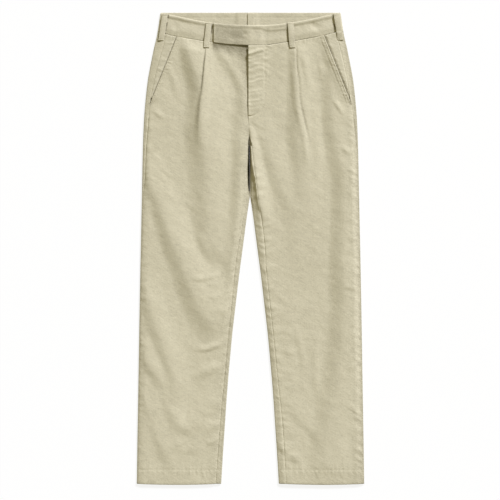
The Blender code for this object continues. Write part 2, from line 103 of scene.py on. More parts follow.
# Large folds: ridges whose crest runs down a path; the slope on the left of the path and on the
# right of it have widths of their own. Width left, width right and rise are each one number, or
# values at even places along the path.
ROLLS = [
    ((18, 36, 46, 50, 48, 40), (50, 84, 84, 84), (3, 6.2, 9.4, 10.2, 9, 7, 5.8, 5, 3), [(-154, 500),
     (-142, 464), (-132, 425), (-121, 398), (-112, 369), (-108, 335), (-107, 301), (-107, 256), (-103, 222),
     (-98, 188), (-95, 144), (-92, 88), (-90, 40), (-88, -20), (-84, -60)]),
    ((32, 38), 24, (0, 2.6, 4.4, 4.8, 4.6, 3.8, 3, 2.6, 2.6, 2.2), [(-18, 366), (-20, 310), (-20, 256),
     (-22, 200), (-26, 133), (-31, 76), (-38, 9), (-40, -47), (-42, -120), (-46, -190)]),
    ((20, 52), (50, 66, 150), (1.4, 5, 7.2, 6.2), [(-266, 196), (-236, 172), (-222, 142), (-204, 104),
     (-189, 61), (-174, 16), (-156, -20), (-141, -61), (-122, -104), (-100, -147), (-76, -178), (-52, -200)]),
    ((20, 40), 48, (1, 3, 4, 3.4, 2.6), [(-262, -66), (-238, -98), (-225, -126), (-218, -150), (-211, -172),
     (-204, -192), (-197, -212), (-190, -232), (-183, -254), (-176, -278), (-168, -304), (-158, -331),
     (-142, -364)]),
    ((18, 30), 46, (1.2, 3.2, 3), [(-270, -206), (-248, -228), (-234, -248), (-224, -263), (-214, -279),
     (-204, -295), (-194, -308), (-183, -319), (-167, -333)]),
    ((18, 24), (130, 80), (0.4, 1.8, 3.4), [(-266, -290), (-242, -326), (-230, -351), (-221, -376),
     (-212, -400), (-204, -424), (-196, -443), (-190, -460), (-178, -474), (-160, -490)]),
    ((22, 26, 32, 36, 44, 50, 50), (50, 50, 56, 66, 76), (0.8, 3.6, 5.6, 6.2, 5.6, 4.6, 3.8, 2.8, 1.6, 0.4), [
     (104, 488), (104, 466), (105, 430), (107, 403), (108, 358), (109, 313), (110, 268), (113, 223),
     (117, 178), (119, 134), (121, 90), (124, 45), (126, 0), (128, -50)]),
    ((20, 34, 40, 44, 46), (76, 72, 96), (0.8, 4.2, 6.6, 6.8, 7, 5.6, 2.6), [(181, 480), (182, 440),
     (183, 400), (184, 358), (185, 306), (189, 272), (194, 245), (199, 222), (205, 193), (211, 171),
     (213, 148), (212, 121), (212, 88), (212, 60), (212, 20), (210, -14), (211, -47), (212, -70), (214, -104),
     (214, -138), (212, -171), (209, -216), (205, -250), (202, -284), (196, -317), (189, -340), (183, -367),
     (176, -410), (172, -450), (170, -490), (168, -540)]),
    (6, 30, 3, [(-2, 290), (0, 265), (1, 243), (3, 198), (8, 170), (12, 154), (15, 131), (20, 98), (27, 75),
     (33, 40)]),
    ((14, 28, 36, 40), (42, 64, 80), (2.2, 2.8, 2.6, 2, 1.2), [(8, 296), (16, 277), (38, 225), (52, 190),
     (65, 157), (80, 123), (97, 90), (106, 56), (110, 22), (116, -22), (120, -80)]),
]
# smaller creases, added on top: rise above 0 is a ridge, below 0 a trough
CREASES = [
    (9, 13, (0.8, 2, 2.8), [(-132, -225), (-112, -226), (-96, -225), (-83, -221), (-71, -215), (-53, -205)]),
    (18, 20, (0.6, 2.2, 3.4), [(-137, -297), (-116, -285), (-98, -274), (-83, -267), (-62, -261)]),
    ((20, 26, 28, 24), 46, (1, 1.8, 2.4, 3, 2.8, 2.4, 1.8), [(-192, -313), (-182, -345), (-170, -375),
     (-156, -395), (-140, -400), (-123, -389), (-105, -368), (-87, -350), (-75, -342), (-58, -336)]),
    (18, 26, (0.2, 0.7, 1.5, 2.6, 3), [(-184, -441), (-157, -447), (-137, -450), (-125, -447), (-116, -432),
     (-107, -419), (-96, -405), (-83, -395), (-60, -383)]),
    (8, 10, 1.4, [(-105, -439), (-92, -437), (-78, -428), (-62, -416)]),
    (8, 14, 1.2, [(-140, -64), (-118, -69), (-95, -66), (-60, -55)]),
    (8, 12, 0.5, [(-224, 222), (-211, 201), (-202, 187), (-191, 174), (-181, 165), (-162, 155)]),
    (7, 10, 0.35, [(-214, 176), (-200, 160), (-186, 150), (-168, 144)]),
    (8, 10, 0.4, [(-196, 136), (-182, 120), (-170, 108), (-156, 98)]),
    (8, 12, 1, [(-222, 316), (-212, 306), (-200, 296), (-186, 290)]),
    (16, 7, -0.9, [(-8, 287), (0, 281), (12, 273), (30, 262), (44, 255)]),
    (13, 20, 0.5, [(46, -84), (65, -106), (77, -121), (88, -137)]),
    (20, 34, 1, [(72, -336), (94, -359), (107, -372), (121, -388), (134, -404), (148, -419), (160, -442)]),
    (14, 24, 1.3, [(66, -432), (82, -459), (95, -468), (110, -475), (128, -482)]),
    (14, 30, 0.3, [(128, -470), (145, -482), (162, -487), (183, -481), (203, -463), (225, -437)]),
    (8, 14, 1.1, [(212, -350), (228, -359), (238, -367), (248, -380)]),
    (7, 10, 1.1, [(218, -276), (233, -262), (247, -253)]),
    (8, 16, 1.5, [(-26, 428), (-1, 435), (10, 438), (20, 443), (40, 453)]),
    (6, 7, 0.8, [(-1, 412), (10, 413), (22, 413)]),
    (6, 8, 0.8, [(24, 418), (34, 424), (48, 433)]),
    (7, 9, 0.7, [(12, 372), (26, 380), (38, 390), (54, 398)]),
    (6, 8, 0.5, [(-1, 346), (10, 348), (24, 348)]),
    (7, 9, 0.9, [(203, -84), (225, -88), (246, -95)]),
    (9, 12, 1.4, [(200, 232), (212, 222), (226, 208)]),
    (6, 12, 1.4, [(181, 340), (195, 319), (204, 306), (214, 297)]),
    (18, 16, 1.9, [(-82, 456), (-66, 436), (-52, 416), (-38, 398), (-26, 376), (-18, 352), (-14, 320),
     (-13, 288)]),
    (10, 12, 0.6, [(-70, 384), (-60, 352), (-50, 320)]),
    (10, 12, 0.6, [(-46, 440), (-34, 416), (-24, 396)]),
    (10, 14, 1.2, [(116, 440), (122, 412), (128, 380), (134, 350)]),
    (7, 10, 0.8, [(150, 430), (158, 400), (160, 372)]),
    (14, 16, 0.9, [(-118, 40), (-108, 10), (-100, -20)]),
    (14, 16, 0.8, [(150, 330), (148, 280), (150, 230), (156, 170)]),
    (10, 12, 0.8, [(-196, 420), (-180, 396), (-170, 366), (-166, 330)]),
    (12, 12, 0.6, [(150, -180), (146, -240), (148, -300), (156, -350)]),
    (10, 12, 0.6, [(100, -180), (112, -220), (120, -270)]),
    (10, 12, 0.5, [(-104, -78), (-84, -80), (-54, -76)]),
    (9, 11, 0.5, [(-96, -108), (-76, -108), (-50, -101)]),
    (10, 12, 0.4, [(-88, -136), (-68, -138), (-46, -130)]),
    (10, 13, 0.4, [(58, -178), (80, -184), (104, -190)]),
    (9, 14, 0.5, [(62, -230), (88, -234), (112, -242)]),
    (10, 12, 0.6, [(64, -268), (84, -276), (104, -278)]),
    (9, 14, 0.4, [(70, -308), (92, -314), (110, -322)]),
]
# creases of the same kind on the underside, where they press upward
UNDER_CREASES = [
    (16, 20, 1.1, [(-226, 300), (-200, 220), (-170, 120), (-150, 10)]),
    (14, 22, 1, [(-60, 420), (-70, 340), (-76, 240), (-72, 120)]),
    (18, 20, 1.2, [(-228, 60), (-196, -20), (-160, -110), (-110, -190)]),
    (14, 16, 1, [(-236, -170), (-206, -230), (-170, -280), (-110, -330)]),
    (14, 18, 1.1, [(-232, -330), (-206, -390), (-176, -440), (-130, -480)]),
    (12, 16, 0.9, [(-50, -20), (-70, -90), (-100, -150)]),
    (12, 14, 0.9, [(-66, -260), (-96, -240), (-140, -250)]),
    (18, 20, 1.2, [(206, 330), (196, 220), (190, 110), (196, -20)]),
    (14, 20, 1, [(60, 430), (66, 330), (80, 230), (90, 120)]),
    (14, 18, 1.1, [(20, 240), (46, 170), (84, 90), (120, 20)]),
    (16, 18, 1.1, [(200, -60), (190, -150), (174, -240), (160, -330)]),
    (12, 16, 0.9, [(60, -120), (84, -160), (120, -190)]),
    (12, 16, 1, [(76, -340), (104, -380), (150, -410)]),
    (12, 14, 0.9, [(84, -450), (120, -476), (180, -470)]),
    (10, 12, 0.8, [(230, -380), (214, -420), (206, -470)]),
    (16, 20, 0.9, [(-52, 410), (-44, 360), (-34, 310)]),
]
# dents of the same kind on the waistband
BAND_DENTS = [
    (12, 12, -1.3, [(-176, 506), (-168, 497), (-160, 489)]),
    (12, 12, -1.4, [(128, 508), (145, 499), (165, 492)]),
    (9, 18, -0.8, [(-86, 482), (-64, 478), (-44, 474), (-26, 471), (-8, 470), (8, 470)]),
    (7, 8, -0.6, [(-22, 484), (-12, 481), (-2, 478)]),
]


# ---- curves and noise
def smooth(t):
    """0 below 0, 1 above 1, eased between."""
    t = np.clip(t, 0, 1)
    return t * t * (3 - 2 * t)


def ease(value, start, end):
    """0 on the near side of start, 1 past end, eased between."""
    return smooth((value - start) / (end - start))


def bump(t):
    """1 at 0, eased to 0 at -1 and at 1."""
    return smooth(1 - np.abs(t))


def pick(side, right, left):
    return right if side < 0 else left


def curve(rows):
    """Smooth curve through a table of (position, value) rows sorted by position."""
    at, value = np.array(rows, float).T
    secant = np.diff(value) / np.diff(at)
    before, after = secant[:-1], secant[1:]
    level = before * after <= 0
    mean = 2 * before * after / np.where(level, 1, before + after)
    slope = np.concatenate([secant[:1], np.where(level, 0, mean), secant[-1:]])

    def evaluate(y):
        y = np.clip(np.asarray(y, float), at[0], at[-1])
        i = np.clip(np.searchsorted(at, y) - 1, 0, len(at) - 2)
        span = at[i + 1] - at[i]
        t = (y - at[i]) / span
        low = value[i] * (1 + 2 * t) * (1 - t) ** 2 + slope[i] * span * t * (1 - t) ** 2
        high = value[i + 1] * t * t * (3 - 2 * t) - slope[i + 1] * span * t * t * (1 - t)
        return low + high

    return evaluate


def both(right, left):
    return {-1: curve(right), 1: curve(left)}


half_width = curve([
    (-532, 255.8), (-430, 254.3), (-295, 252), (-160, 249.8), (-25, 247.3), (110, 244.4), (222, 242.1),
    (290, 239.4), (335, 235.8), (380, 230.6), (425, 222.2), (452, 216.7), (479, 210.4), (515, 204.8),
    (532, 202.3)])
half_space = curve([
    (-532, 64.9), (-464, 60.8), (-396, 56.3), (-329, 51.8), (-261, 46.1), (-194, 39.9), (-126, 32.1),
    (-59, 24.2), (9, 15.2), (76, 6.4), (117, 0.15)])
centre = curve([(-532, -1.1), (117, -1.1), (200, -2.2), (267, -3.3), (300, -4.8), (532, -4.8)])
seam_y = curve([         # waist seam on the front, over x
    (-215, 488.3), (-206, 487.4), (-192, 482.5), (-176, 477.4), (-158, 474.1), (-136, 470.5),
    (-118, 467.3), (-77, 460.8), (-50, 457.6), (-20, 455.6), (8, 455), (32, 455.8), (55, 458.8),
    (75, 462.2), (111, 467.8), (133, 471.8), (156, 476.4), (174, 480.6), (192, 485.2), (206, 487.9),
    (215, 488.6)])
outseam = both(
    [(-532, 2.6), (100, 2.6), (153, 5.9), (190, 6.8), (227, 7.7), (283, 10), (340, 10.8), (383, 14.6),
     (420, 17), (462, 19.7), (500, 19.8)],
    [(-532, 2.6), (200, 2.6), (236, 4.1), (270, 6.5), (309, 8.6), (339, 12.3), (377, 14.2),
     (415, 15.2), (462, 15.9), (500, 16)])
inseam = both(
    [(-532, 12.4), (-385, 10.8), (-304, 8.8), (-160, 8.8), (-14, 10.8), (42, 7.7), (110, 6.3),
     (178, 5.9), (222, 3.6), (267, 2.6)],
    [(-532, 16.2), (-403, 16.7), (-304, 13.3), (-191, 12.2), (-43, 13.3), (-2, 17.1), (42, 18),
     (117, 17.3), (155, 13.5), (189, 9.5), (222, 6.5), (267, 2.6)])
pleat_x = both(
    [(-532, -155), (-300, -140), (-25, -113), (110, -110), (222, -116), (277, -115), (300, -113.5),
     (322, -112.2), (344, -109.2), (367, -107), (389, -105.5), (409, -104), (445, -100), (500, -96)],
    [(-532, 158), (-300, 150), (-25, 140), (110, 138), (222, 133), (255, 128), (286, 121), (331, 111.2),
     (380, 107), (410, 102.8), (448, 102), (500, 101)])
# how far the deepest shade and the hollow reach from the middle between the legs
deep_width = both(
    [(-532, 0), (100, 0), (117, 2.2), (131, 3.4), (154, 4.6), (176, 4.8), (198, 3.5), (221, 2.9),
     (243, 2), (258, 0), (532, 0)],
    [(-532, 0), (150, 0), (165, 0.3), (176, 0.8), (198, 1.9), (221, 1.9), (243, 0.2), (258, 0),
     (532, 0)])
hollow_width = both(
    [(-532, 8), (117, 8), (155, 8), (178, 7), (200, 5.4), (222, 4.6), (245, 3), (532, 3)],
    [(-532, 14), (117, 14), (133, 13), (155, 10), (178, 5), (200, 3), (222, 2.4), (245, 2), (532, 2)])


class Noise:
    """Smooth noise between about -1 and 1 over cells of the given size, turned by an angle."""

    def __init__(self, seed, cell_x, cell_y, turn=0):
        self.grid = np.random.RandomState(seed).uniform(-1, 1, (64, 64))
        self.cell = (cell_x, cell_y)
        self.cos, self.sin = math.cos(math.radians(turn)), math.sin(math.radians(turn))

    def __call__(self, x, y):
        u = (x * self.cos + y * self.sin) / self.cell[0]
        v = (-x * self.sin + y * self.cos) / self.cell[1]
        i, j = np.floor(u), np.floor(v)
        s, t = smooth(u - i), smooth(v - j)
        i, j = i.astype(int) % 64, j.astype(int) % 64
        i1, j1 = (i + 1) % 64, (j + 1) % 64
        low = self.grid[i, j] * (1 - s) + self.grid[i1, j] * s
        high = self.grid[i, j1] * (1 - s) + self.grid[i1, j1] * s
        return low * (1 - t) + high * t


BILLOW = Noise(3, 64, 95, 12)
CRUMPLE = Noise(11, 17, 30, 24)
CRUMPLE_ACROSS = Noise(12, 26, 13, -18)
RIPPLE = Noise(17, 7.5, 11, 30)
GRAIN = Noise(19, 19, 6.5, -30)
UNDER_BILLOW = Noise(23, 60, 80, -14)
BAND_NOISE = Noise(53, 26, 15)


def smooth_path(points, steps=6):
    """Points along a Catmull-Rom curve through the given ones."""
    p = np.array(points, float)
    p = np.vstack([2 * p[0] - p[1], p, 2 * p[-1] - p[-2]])
    out = []
    for a, b, c, d in zip(p[:-3], p[1:-2], p[2:-1], p[3:]):
        for t in np.arange(steps) / steps:
            out.append(0.5 * (2 * b + (c - a) * t + (2 * a - 5 * b + 4 * c - d) * t * t
                              + (3 * b - a - 3 * c + d) * t ** 3))
    out.append(p[-2])
    return np.array(out)


def beside_path(path, x, y, reach):
    """Points beside a path: mask, signed distance (left is below 0), share and length."""
    low, high = path.min(0) - reach, path.max(0) + reach
    near = (x > low[0]) & (x < high[0]) & (y > low[1]) & (y < high[1])
    px, py = x[near], y[near]
    best = np.full(px.shape, 1e9)
    side = np.zeros(px.shape)
    share = np.zeros(px.shape)
    steps = np.hypot(*np.diff(path, axis=0).T)
    total = steps.sum()
    done = 0
    for a, b, length in zip(path[:-1], path[1:], steps):
        ux, uy = (b - a) / length
        along = (px - a[0]) * ux + (py - a[1]) * uy
        across = (py - a[1]) * ux - (px - a[0]) * uy
        within = np.clip(along, 0, length)
        gap = np.hypot(across, along - within)
        closer = gap < best
        best = np.where(closer, gap, best)
        side = np.where(closer, np.where(across < 0, -gap, gap), side)
        share = np.where(closer, (done + within) / total, share)
        done += length
    return near, side, share, total


def between(value, share):
    """One number, or several at even places along the path."""
    values = value if isinstance(value, tuple) else (value, value)
    return np.interp(share, np.linspace(0, 1, len(values)), values)


def crease_height(rows, x, y, largest=False, first=24, last=32):
    """Height that the creases of a table give; they rise over first mm and fade over last mm."""
    total = np.zeros(x.shape)
    for left, right, rise, points in rows:
        path = smooth_path(points)
        near, side, share, length = beside_path(path, x, y, max(np.max(left), np.max(right)) + 2)
        slope = 1 - np.where(side < 0, -side / between(left, share), side / between(right, share))
        ends = smooth(share * length / min(first, 0.4 * length))
        ends *= smooth((1 - share) * length / min(last, 0.5 * length))
        value = between(rise, share) * smooth(slope) * ends
        if largest:                      # the higher of two folds, blended where they meet
            other = total[near]
            blend = np.minimum(1.8, 2 * np.minimum(other, value)) + 1e-6
            over = np.maximum(blend - np.abs(other - value), 0)
            total[near] = np.maximum(other, value) + over ** 2 / (4 * blend)
        else:
            total[near] += value
    return total


class Puckers:
    """Short uneven ridges across a seam, at irregular places along it."""

    def __init__(self, seed, start, end, spacing, reach, rise, tilt=0):
        random = np.random.RandomState(seed)
        count = int(abs(end - start) / spacing) + 2
        gaps = spacing * random.uniform(0.62, 1.38, count)
        self.at = min(start, end) + np.cumsum(gaps)
        self.half = 0.5 * gaps
        self.rise = rise * random.uniform(0.3, 1, count)
        self.reach = reach * random.uniform(0.5, 1.25, count)
        self.tilt = tilt + random.uniform(-0.35, 0.35, count)

    def __call__(self, along, away):
        """Height at a place along the seam and a distance away from it."""
        k = np.clip(np.searchsorted(self.at, along), 0, len(self.at) - 1)
        total = 0
        for i in (np.clip(k - 1, 0, None), k):
            place = (along - self.at[i] - self.tilt[i] * away) / self.half[i]
            fade = smooth(away / 1.5 + 0.4) * smooth(1 - away / self.reach[i])
            total = total + self.rise[i] * bump(place) * fade
        return total


SEAM_PUCKERS = {
    ("out", -1): Puckers(31, -520, 330, 19, 17, 1.3, 0.5),
    ("out", 1): Puckers(32, -520, 330, 19, 26, 1.6, 0.6),
    ("in", -1): Puckers(33, -520, 240, 17, 22, 0.9, -0.5),
    ("in", 1): Puckers(34, -520, 240, 19, 30, 1.1, 0.25),
}
POCKET_PUCKERS = {-1: Puckers(41, 340, 480, 6.3, 12, 1), 1: Puckers(42, 340, 480, 6, 13, 1)}
STRIP_PUCKERS = {-1: Puckers(43, 250, 490, 12, 26, 0.7), 1: Puckers(44, 250, 490, 11, 26, 0.7)}
WAIST_PUCKERS = Puckers(45, -HALF_WAIST, HALF_WAIST, 9, 15, 0.75)
FLY_PUCKERS = Puckers(46, 296, 470, 11, 36, 2.2)
FLY_OUTER_PUCKERS = Puckers(48, 300, 462, 14, 24, 1, -0.3)
HEM_PUCKERS = Puckers(47, -262, 262, 10.5, 24, 0.55, 0.2)
BAND_PUCKERS = Puckers(51, -HALF_WAIST, HALF_WAIST, 8, 9, 0.5)
BAND_TOP_PUCKERS = Puckers(52, -HALF_WAIST, HALF_WAIST, 13, 10, 0.35)


# ---- seams and edges
def band_top_y(x):
    """Top edge of the waistband on the front."""
    u = (np.asarray(x, float) / 189) ** 2
    return BAND_TOP_FRONT + WAIST_DIP * (u / (1 + u ** 8) ** 0.125)


def hem_drop(q, y):
    """How far a row near the hem hangs below its level; q runs from 0 to 1 across the leg."""
    return -HEM_BOW * 4 * q * (1 - q) * ease(y, HEM_Y + 160, HEM_Y)


def seam_x(side, y):
    """Edge of the front along the outseam."""
    return side * (half_width(y) - outseam[side](y) - HALF_GAP)


def opening_x(side, y):
    """Edge of the front along the slanted pocket."""
    end_x = side * (half_width(POCKET_END_Y) - outseam[side](POCKET_END_Y) - GAP)
    t = (y - POCKET_END_Y) / (POCKET_TOP_Y - POCKET_END_Y)
    bow = -0.4 * side * np.sin(math.pi * np.clip(t, 0, 1))
    return end_x + (POCKET_TOP_X[side] - end_x) * t + bow


def front_outer_x(side, y):
    return np.where(y > POCKET_END_Y, opening_x(side, y), seam_x(side, y))


def front_inner_x(side, y):
    strip = (inseam[side](y) + GAP) * (1 - ease(y, 232, 258))
    apart_x = centre(y) + side * (np.where(y > MEET_Y, HALF_GAP, half_space(y)) + strip)
    joined_x = centre(y) + side * HALF_GAP
    if side < 0:
        t = np.clip((FLY_CURVE_TOP - y) / (FLY_CURVE_TOP - FLY_END_Y), 0, 1)
        under = centre(y) + FLY_WIDTH * np.sqrt(1 - t * t)
        joined_x = np.where(y > FLY_END_Y + 1, under, joined_x)
    return np.where(y > CROTCH_Y, joined_x, apart_x)


def legs_apart(y):
    return ease(y, 300, 200)


def below_crotch(y):
    return ease(y, 264, 214)


def groove(y):
    """Where the legs press together below the crotch."""
    return ease(y, 40, 130) * below_crotch(y)


def from_edges(side, x, y):
    """Distances from the outer and the inner edge of the leg."""
    space = np.where(y > MEET_Y, HALF_GAP, half_space(y))
    return half_width(y) - side * x, side * (x - centre(y)) - space


def j_stitch_x(y):
    """The curved row of stitches beside the fly."""
    t = np.clip((J_TURN_Y - y) / J_DROP, 0, 1)
    return centre(y) + J_REACH * np.sqrt(1 - t * t)


def right_pleat_width(y):
    """The fold of the right pleat spreads as it runs out below."""
    return 2.2 + 10 * ease(y, 405, 275)


# ---- relief of the upper face
def fine_relief(side, x, y):
    """Creases, puckers and the soft unevenness of pressed linen."""
    from_outer, from_inner = from_edges(side, x, y)
    below_waist = seam_y(x) - y
    in_leg = legs_apart(y)
    z = crease_height(CREASES, x, y) * smooth(below_waist / 12 + 0.1)
    below_pocket = ease(y, POCKET_END_Y - 8, POCKET_END_Y - 38)
    past_out = from_outer - outseam[side](y)
    past_in = from_inner - inseam[side](y)
    above_hem = ease(y, HEM_Y + HEM_TURN - 2, HEM_Y + HEM_TURN + 10)
    z += SEAM_PUCKERS["out", side](y, np.abs(past_out)) * below_pocket * above_hem
    z += SEAM_PUCKERS["in", side](y, np.abs(past_in)) * in_leg * above_hem
    z -= 0.7 * bump(past_out / 2.6) * below_pocket * smooth(outseam[side](y) / 5 - 0.4)
    z -= pick(side, 0.6, 0.25) * bump(past_in / 2.8) * in_leg
    z += WAIST_PUCKERS(x, np.abs(below_waist)) * smooth(below_waist / 2)
    stitch = y - HEM_STITCH_Y
    z += HEM_PUCKERS(x, np.abs(stitch)) - 0.22 * bump(stitch / 3.4) + 0.25 * smooth(-stitch / 3)
    wrinkle = 0.30 * CRUMPLE(x, y) + 0.20 * CRUMPLE_ACROSS(x, y) + 0.12 * RIPPLE(x, y)
    wrinkle += 0.14 * GRAIN(x, y)
    z += 0.6 * BILLOW(x, y) * smooth(from_outer / 30) + 0.75 * wrinkle
    return z * smooth(from_outer / 7) * (1 - in_leg * ease(from_inner, 6, 0))


def top_z(side, x, y):
    """Outer face of the uppermost layer of panels."""
    x, y = np.broadcast_arrays(np.asarray(x, float), np.asarray(y, float))
    from_outer, from_inner = from_edges(side, x, y)
    relief = crease_height(ROLLS, x, y, largest=True, first=34, last=60)
    outward = side * (x - pleat_x[side](y))
    below_waist = seam_y(x) - y
    waist = smooth(below_waist / 10)
    if side < 0:
        step = np.where(outward > 0, smooth(1 - outward / right_pleat_width(y)), smooth(1 + outward / 26))
        relief += (1.5 + 1.7 * ease(y, 405, 275)) * step * waist * ease(y, 215, 305)
    else:
        step = np.where(outward > 0, ease(outward, 2, 0), smooth(1 + outward / 20))
        relief += 0.5 * step * waist * ease(y, 262, 352)
        crevice = bump((outward - 0.9) / (2.3 + 1.4 * ease(y, 385, 305)))
        relief -= (0.8 + 0.6 * ease(y, 370, 410)) * crevice * waist * ease(y, 228, 278)
        relief += 1.3 * bump((outward + 10) / 10) * ease(y, 430, 370) * ease(y, 170, 230)
    relief = relief * smooth(below_waist / 30 + 0.1) + SWELL
    relief *= smooth(from_outer / pick(side, 17, 18))
    relief *= 1 - ease(y, 200, 110) * (1 - smooth(from_inner / pick(side, 24, 14)))
    lift = WAIST_LIFT * ease(y, 370, 450) * (1 - (x / HALF_WAIST) ** 2)
    hollow = hollow_width[side](y)
    low = pick(side, 1, 0.5) * SUNK * groove(y) * (1 - smooth((from_inner + 1) / (hollow + 1)))
    puff = pick(side, 2.2 * ease(y, -70, 80), 2.6 * ease(y, -10, 140)) * below_crotch(y)
    puff *= smooth((from_inner - 0.4 * hollow) / (0.6 * hollow + 2))
    puff *= 1 - smooth((from_inner - hollow - 3) / pick(side, 44, 36))
    z = 2 * LEG_RADIUS + relief + lift * smooth(from_outer / 16) - low + puff
    return z + fine_relief(side, x, y)


def pocket_raise(side, x, y):
    """How far the front stands above the general level beside the pocket opening."""
    inward = side * (opening_x(side, y) - x)
    gape = pick(side, 0.5, 1.3) * bump((y - 400) / 60)
    rise = (LAYER + gape) * smooth((y - POCKET_END_Y) / POCKET_FADE)
    return rise * ease(inward, EDGE_FALL, 0)


def front_z(side, x, y):
    """Outer face of the front, with its pocket opening and its part of the fly."""
    z = top_z(side, x, y) + pocket_raise(side, x, y)
    inward = side * (opening_x(side, y) - x)
    beside = ease(y, POCKET_END_Y, POCKET_END_Y + 10)
    z += POCKET_PUCKERS[side](y, np.maximum(inward - 1.5, 0)) * beside
    z -= (0.5 * bump((inward - 3.6) / 2.2) + 0.4 * bump((inward - 10.5) / 2.2)) * beside
    from_edge = x - centre(y)
    closing = ease(y, 275, 300)
    if side < 0:                         # the part under the fly lies a layer lower
        sink = LAYER * closing * ease(from_edge, EDGE_FALL, 0)
        return z + np.where((y > FLY_END_Y) & (from_edge > 0), sink - LAYER, 0)
    proud = LAYER + 1.3 * ease(y, 300, 330) + 2.3 * ease(y, 350, 460)
    z += proud * closing * (1 - smooth((from_edge + 8) / 66))
    past_row = x - j_stitch_x(y)
    row = np.where(y > J_TURN_Y, past_row, np.hypot(from_edge, (y - J_TURN_Y) * 0.89) - J_REACH)
    strong = 0.6 + 0.8 * ease(y, 350, 410)
    bent = y - 0.16 * from_edge + 3.5 * CRUMPLE(x * 1.4, y * 0.6)
    uneven = np.clip(0.6 + 0.6 * CRUMPLE_ACROSS(x * 0.9, y * 1.3), 0.2, 1)
    uneven *= 0.4 + 0.6 * ease(past_row, -5, -21)
    z += FLY_PUCKERS(bent, 1) * smooth(-row / 3) * strong * uneven * ease(y, 308, 322)
    z += FLY_OUTER_PUCKERS(y, np.abs(past_row)) * smooth(past_row / 2) * ease(y, 340, 360) * strong
    sewn_down = 0.5 + 0.5 * ease(y, 332, 312)
    return z + (0.6 * smooth(0.5 - row / 2.6) - sewn_down * bump(row / 2.2)) * ease(y, 292, 296)


# ---- shells
collection = bpy.data.collections.new("linen_trousers")
bpy.context.scene.collection.children.link(collection)


def new_piece(name, points, faces, look, painted_shading=None):
    """Object of four-sided faces; painted shading below 0 darkens the cloth at a point as painted shade, and
    above 0 lightens it as painted light.
    """
    mesh = bpy.data.meshes.new(name)
    mesh.vertices.add(len(points))
    mesh.vertices.foreach_set("co", (points * 0.001).astype(np.float32).reshape(-1))
    mesh.loops.add(faces.size)
    mesh.loops.foreach_set("vertex_index", faces.reshape(-1).astype(np.int32))
    mesh.polygons.add(len(faces))
    mesh.polygons.foreach_set("loop_start", np.arange(0, faces.size, 4, dtype=np.int32))
    mesh.update(calc_edges=True)
    mesh.validate()
    mesh.shade_smooth()
    # painted shade and painted light, kept per point for the cloth's colour
    layer = mesh.attributes.new("painted_shading", "FLOAT", "POINT")
    if painted_shading is not None:
        layer.data.foreach_set("value", painted_shading.astype(np.float32))
    mesh.materials.append(materials[look])
    obj = bpy.data.objects.new(name, mesh)
    collection.objects.link(obj)
    return obj


def add_shell(name, outer, wall, look, turned=False, inner_relief=0, painted_shading=0):
    """Closed shell: outer face, inner face a wall below it, and a rounded rim.

    Rows of the grid run down and columns toward +X, or the other way where it is turned.
    """
    painted_shading, inner_relief = (np.broadcast_to(v, outer.shape[:2]) for v in (painted_shading, inner_relief))
    if turned:
        outer, painted_shading, inner_relief = outer[:, ::-1], painted_shading[:, ::-1], inner_relief[:, ::-1]
    rows, cols = outer.shape[:2]
    normal = np.cross(np.gradient(outer, axis=0), np.gradient(outer, axis=1))
    normal /= np.maximum(np.linalg.norm(normal, axis=2, keepdims=True), 1e-9)
    inner = outer - normal * (wall + inner_relief[..., None])
    order = ([(0, j) for j in range(cols)] + [(i, cols - 1) for i in range(1, rows)]
             + [(rows - 1, j) for j in range(cols - 2, -1, -1)]
             + [(i, 0) for i in range(rows - 2, 0, -1)])
    i, j = np.array(order).T
    away = outer[i, j] - outer[np.clip(i, 1, rows - 2), np.clip(j, 1, cols - 2)]
    n = normal[i, j]
    away -= n * (away * n).sum(1, keepdims=True)
    away /= np.maximum(np.linalg.norm(away, axis=1, keepdims=True), 1e-9)
    middle = 0.5 * (outer[i, j] + inner[i, j]) + away * min(wall * ROUNDING, 0.5)
    size = rows * cols
    index = np.arange(size).reshape(rows, cols)
    face = np.stack([index[:-1, :-1], index[1:, :-1], index[1:, 1:], index[:-1, 1:]], axis=-1)
    face = face.reshape(-1, 4)
    ring = i * cols + j
    mid = 2 * size + np.arange(len(ring))
    ring1, mid1 = np.roll(ring, -1), np.roll(mid, -1)
    upper = np.stack([ring, ring1, mid1, mid], axis=-1)
    lower = np.stack([mid, mid1, ring1 + size, ring + size], axis=-1)
    points = np.concatenate([outer.reshape(-1, 3), inner.reshape(-1, 3), middle])
    faces = np.concatenate([face, face[:, ::-1] + size, upper, lower])
    # the painted shade and painted light of the outer face are given to the inner face and the rim as well
    painted_shadings = np.concatenate([painted_shading.reshape(-1), painted_shading.reshape(-1), painted_shading[i, j]])
    return new_piece(name, points, faces, look, painted_shadings)


# ---- materials
YARN_PITCH = 0.00095     # metres from yarn to yarn


def wire(links, item, values):
    """Set inputs of a node: numbers and colours as they are, outputs of other nodes by a link."""
    for key, value in values.items():
        if isinstance(value, bpy.types.NodeSocket):
            links.new(value, item.inputs[key])
        else:
            item.inputs[key].default_value = value


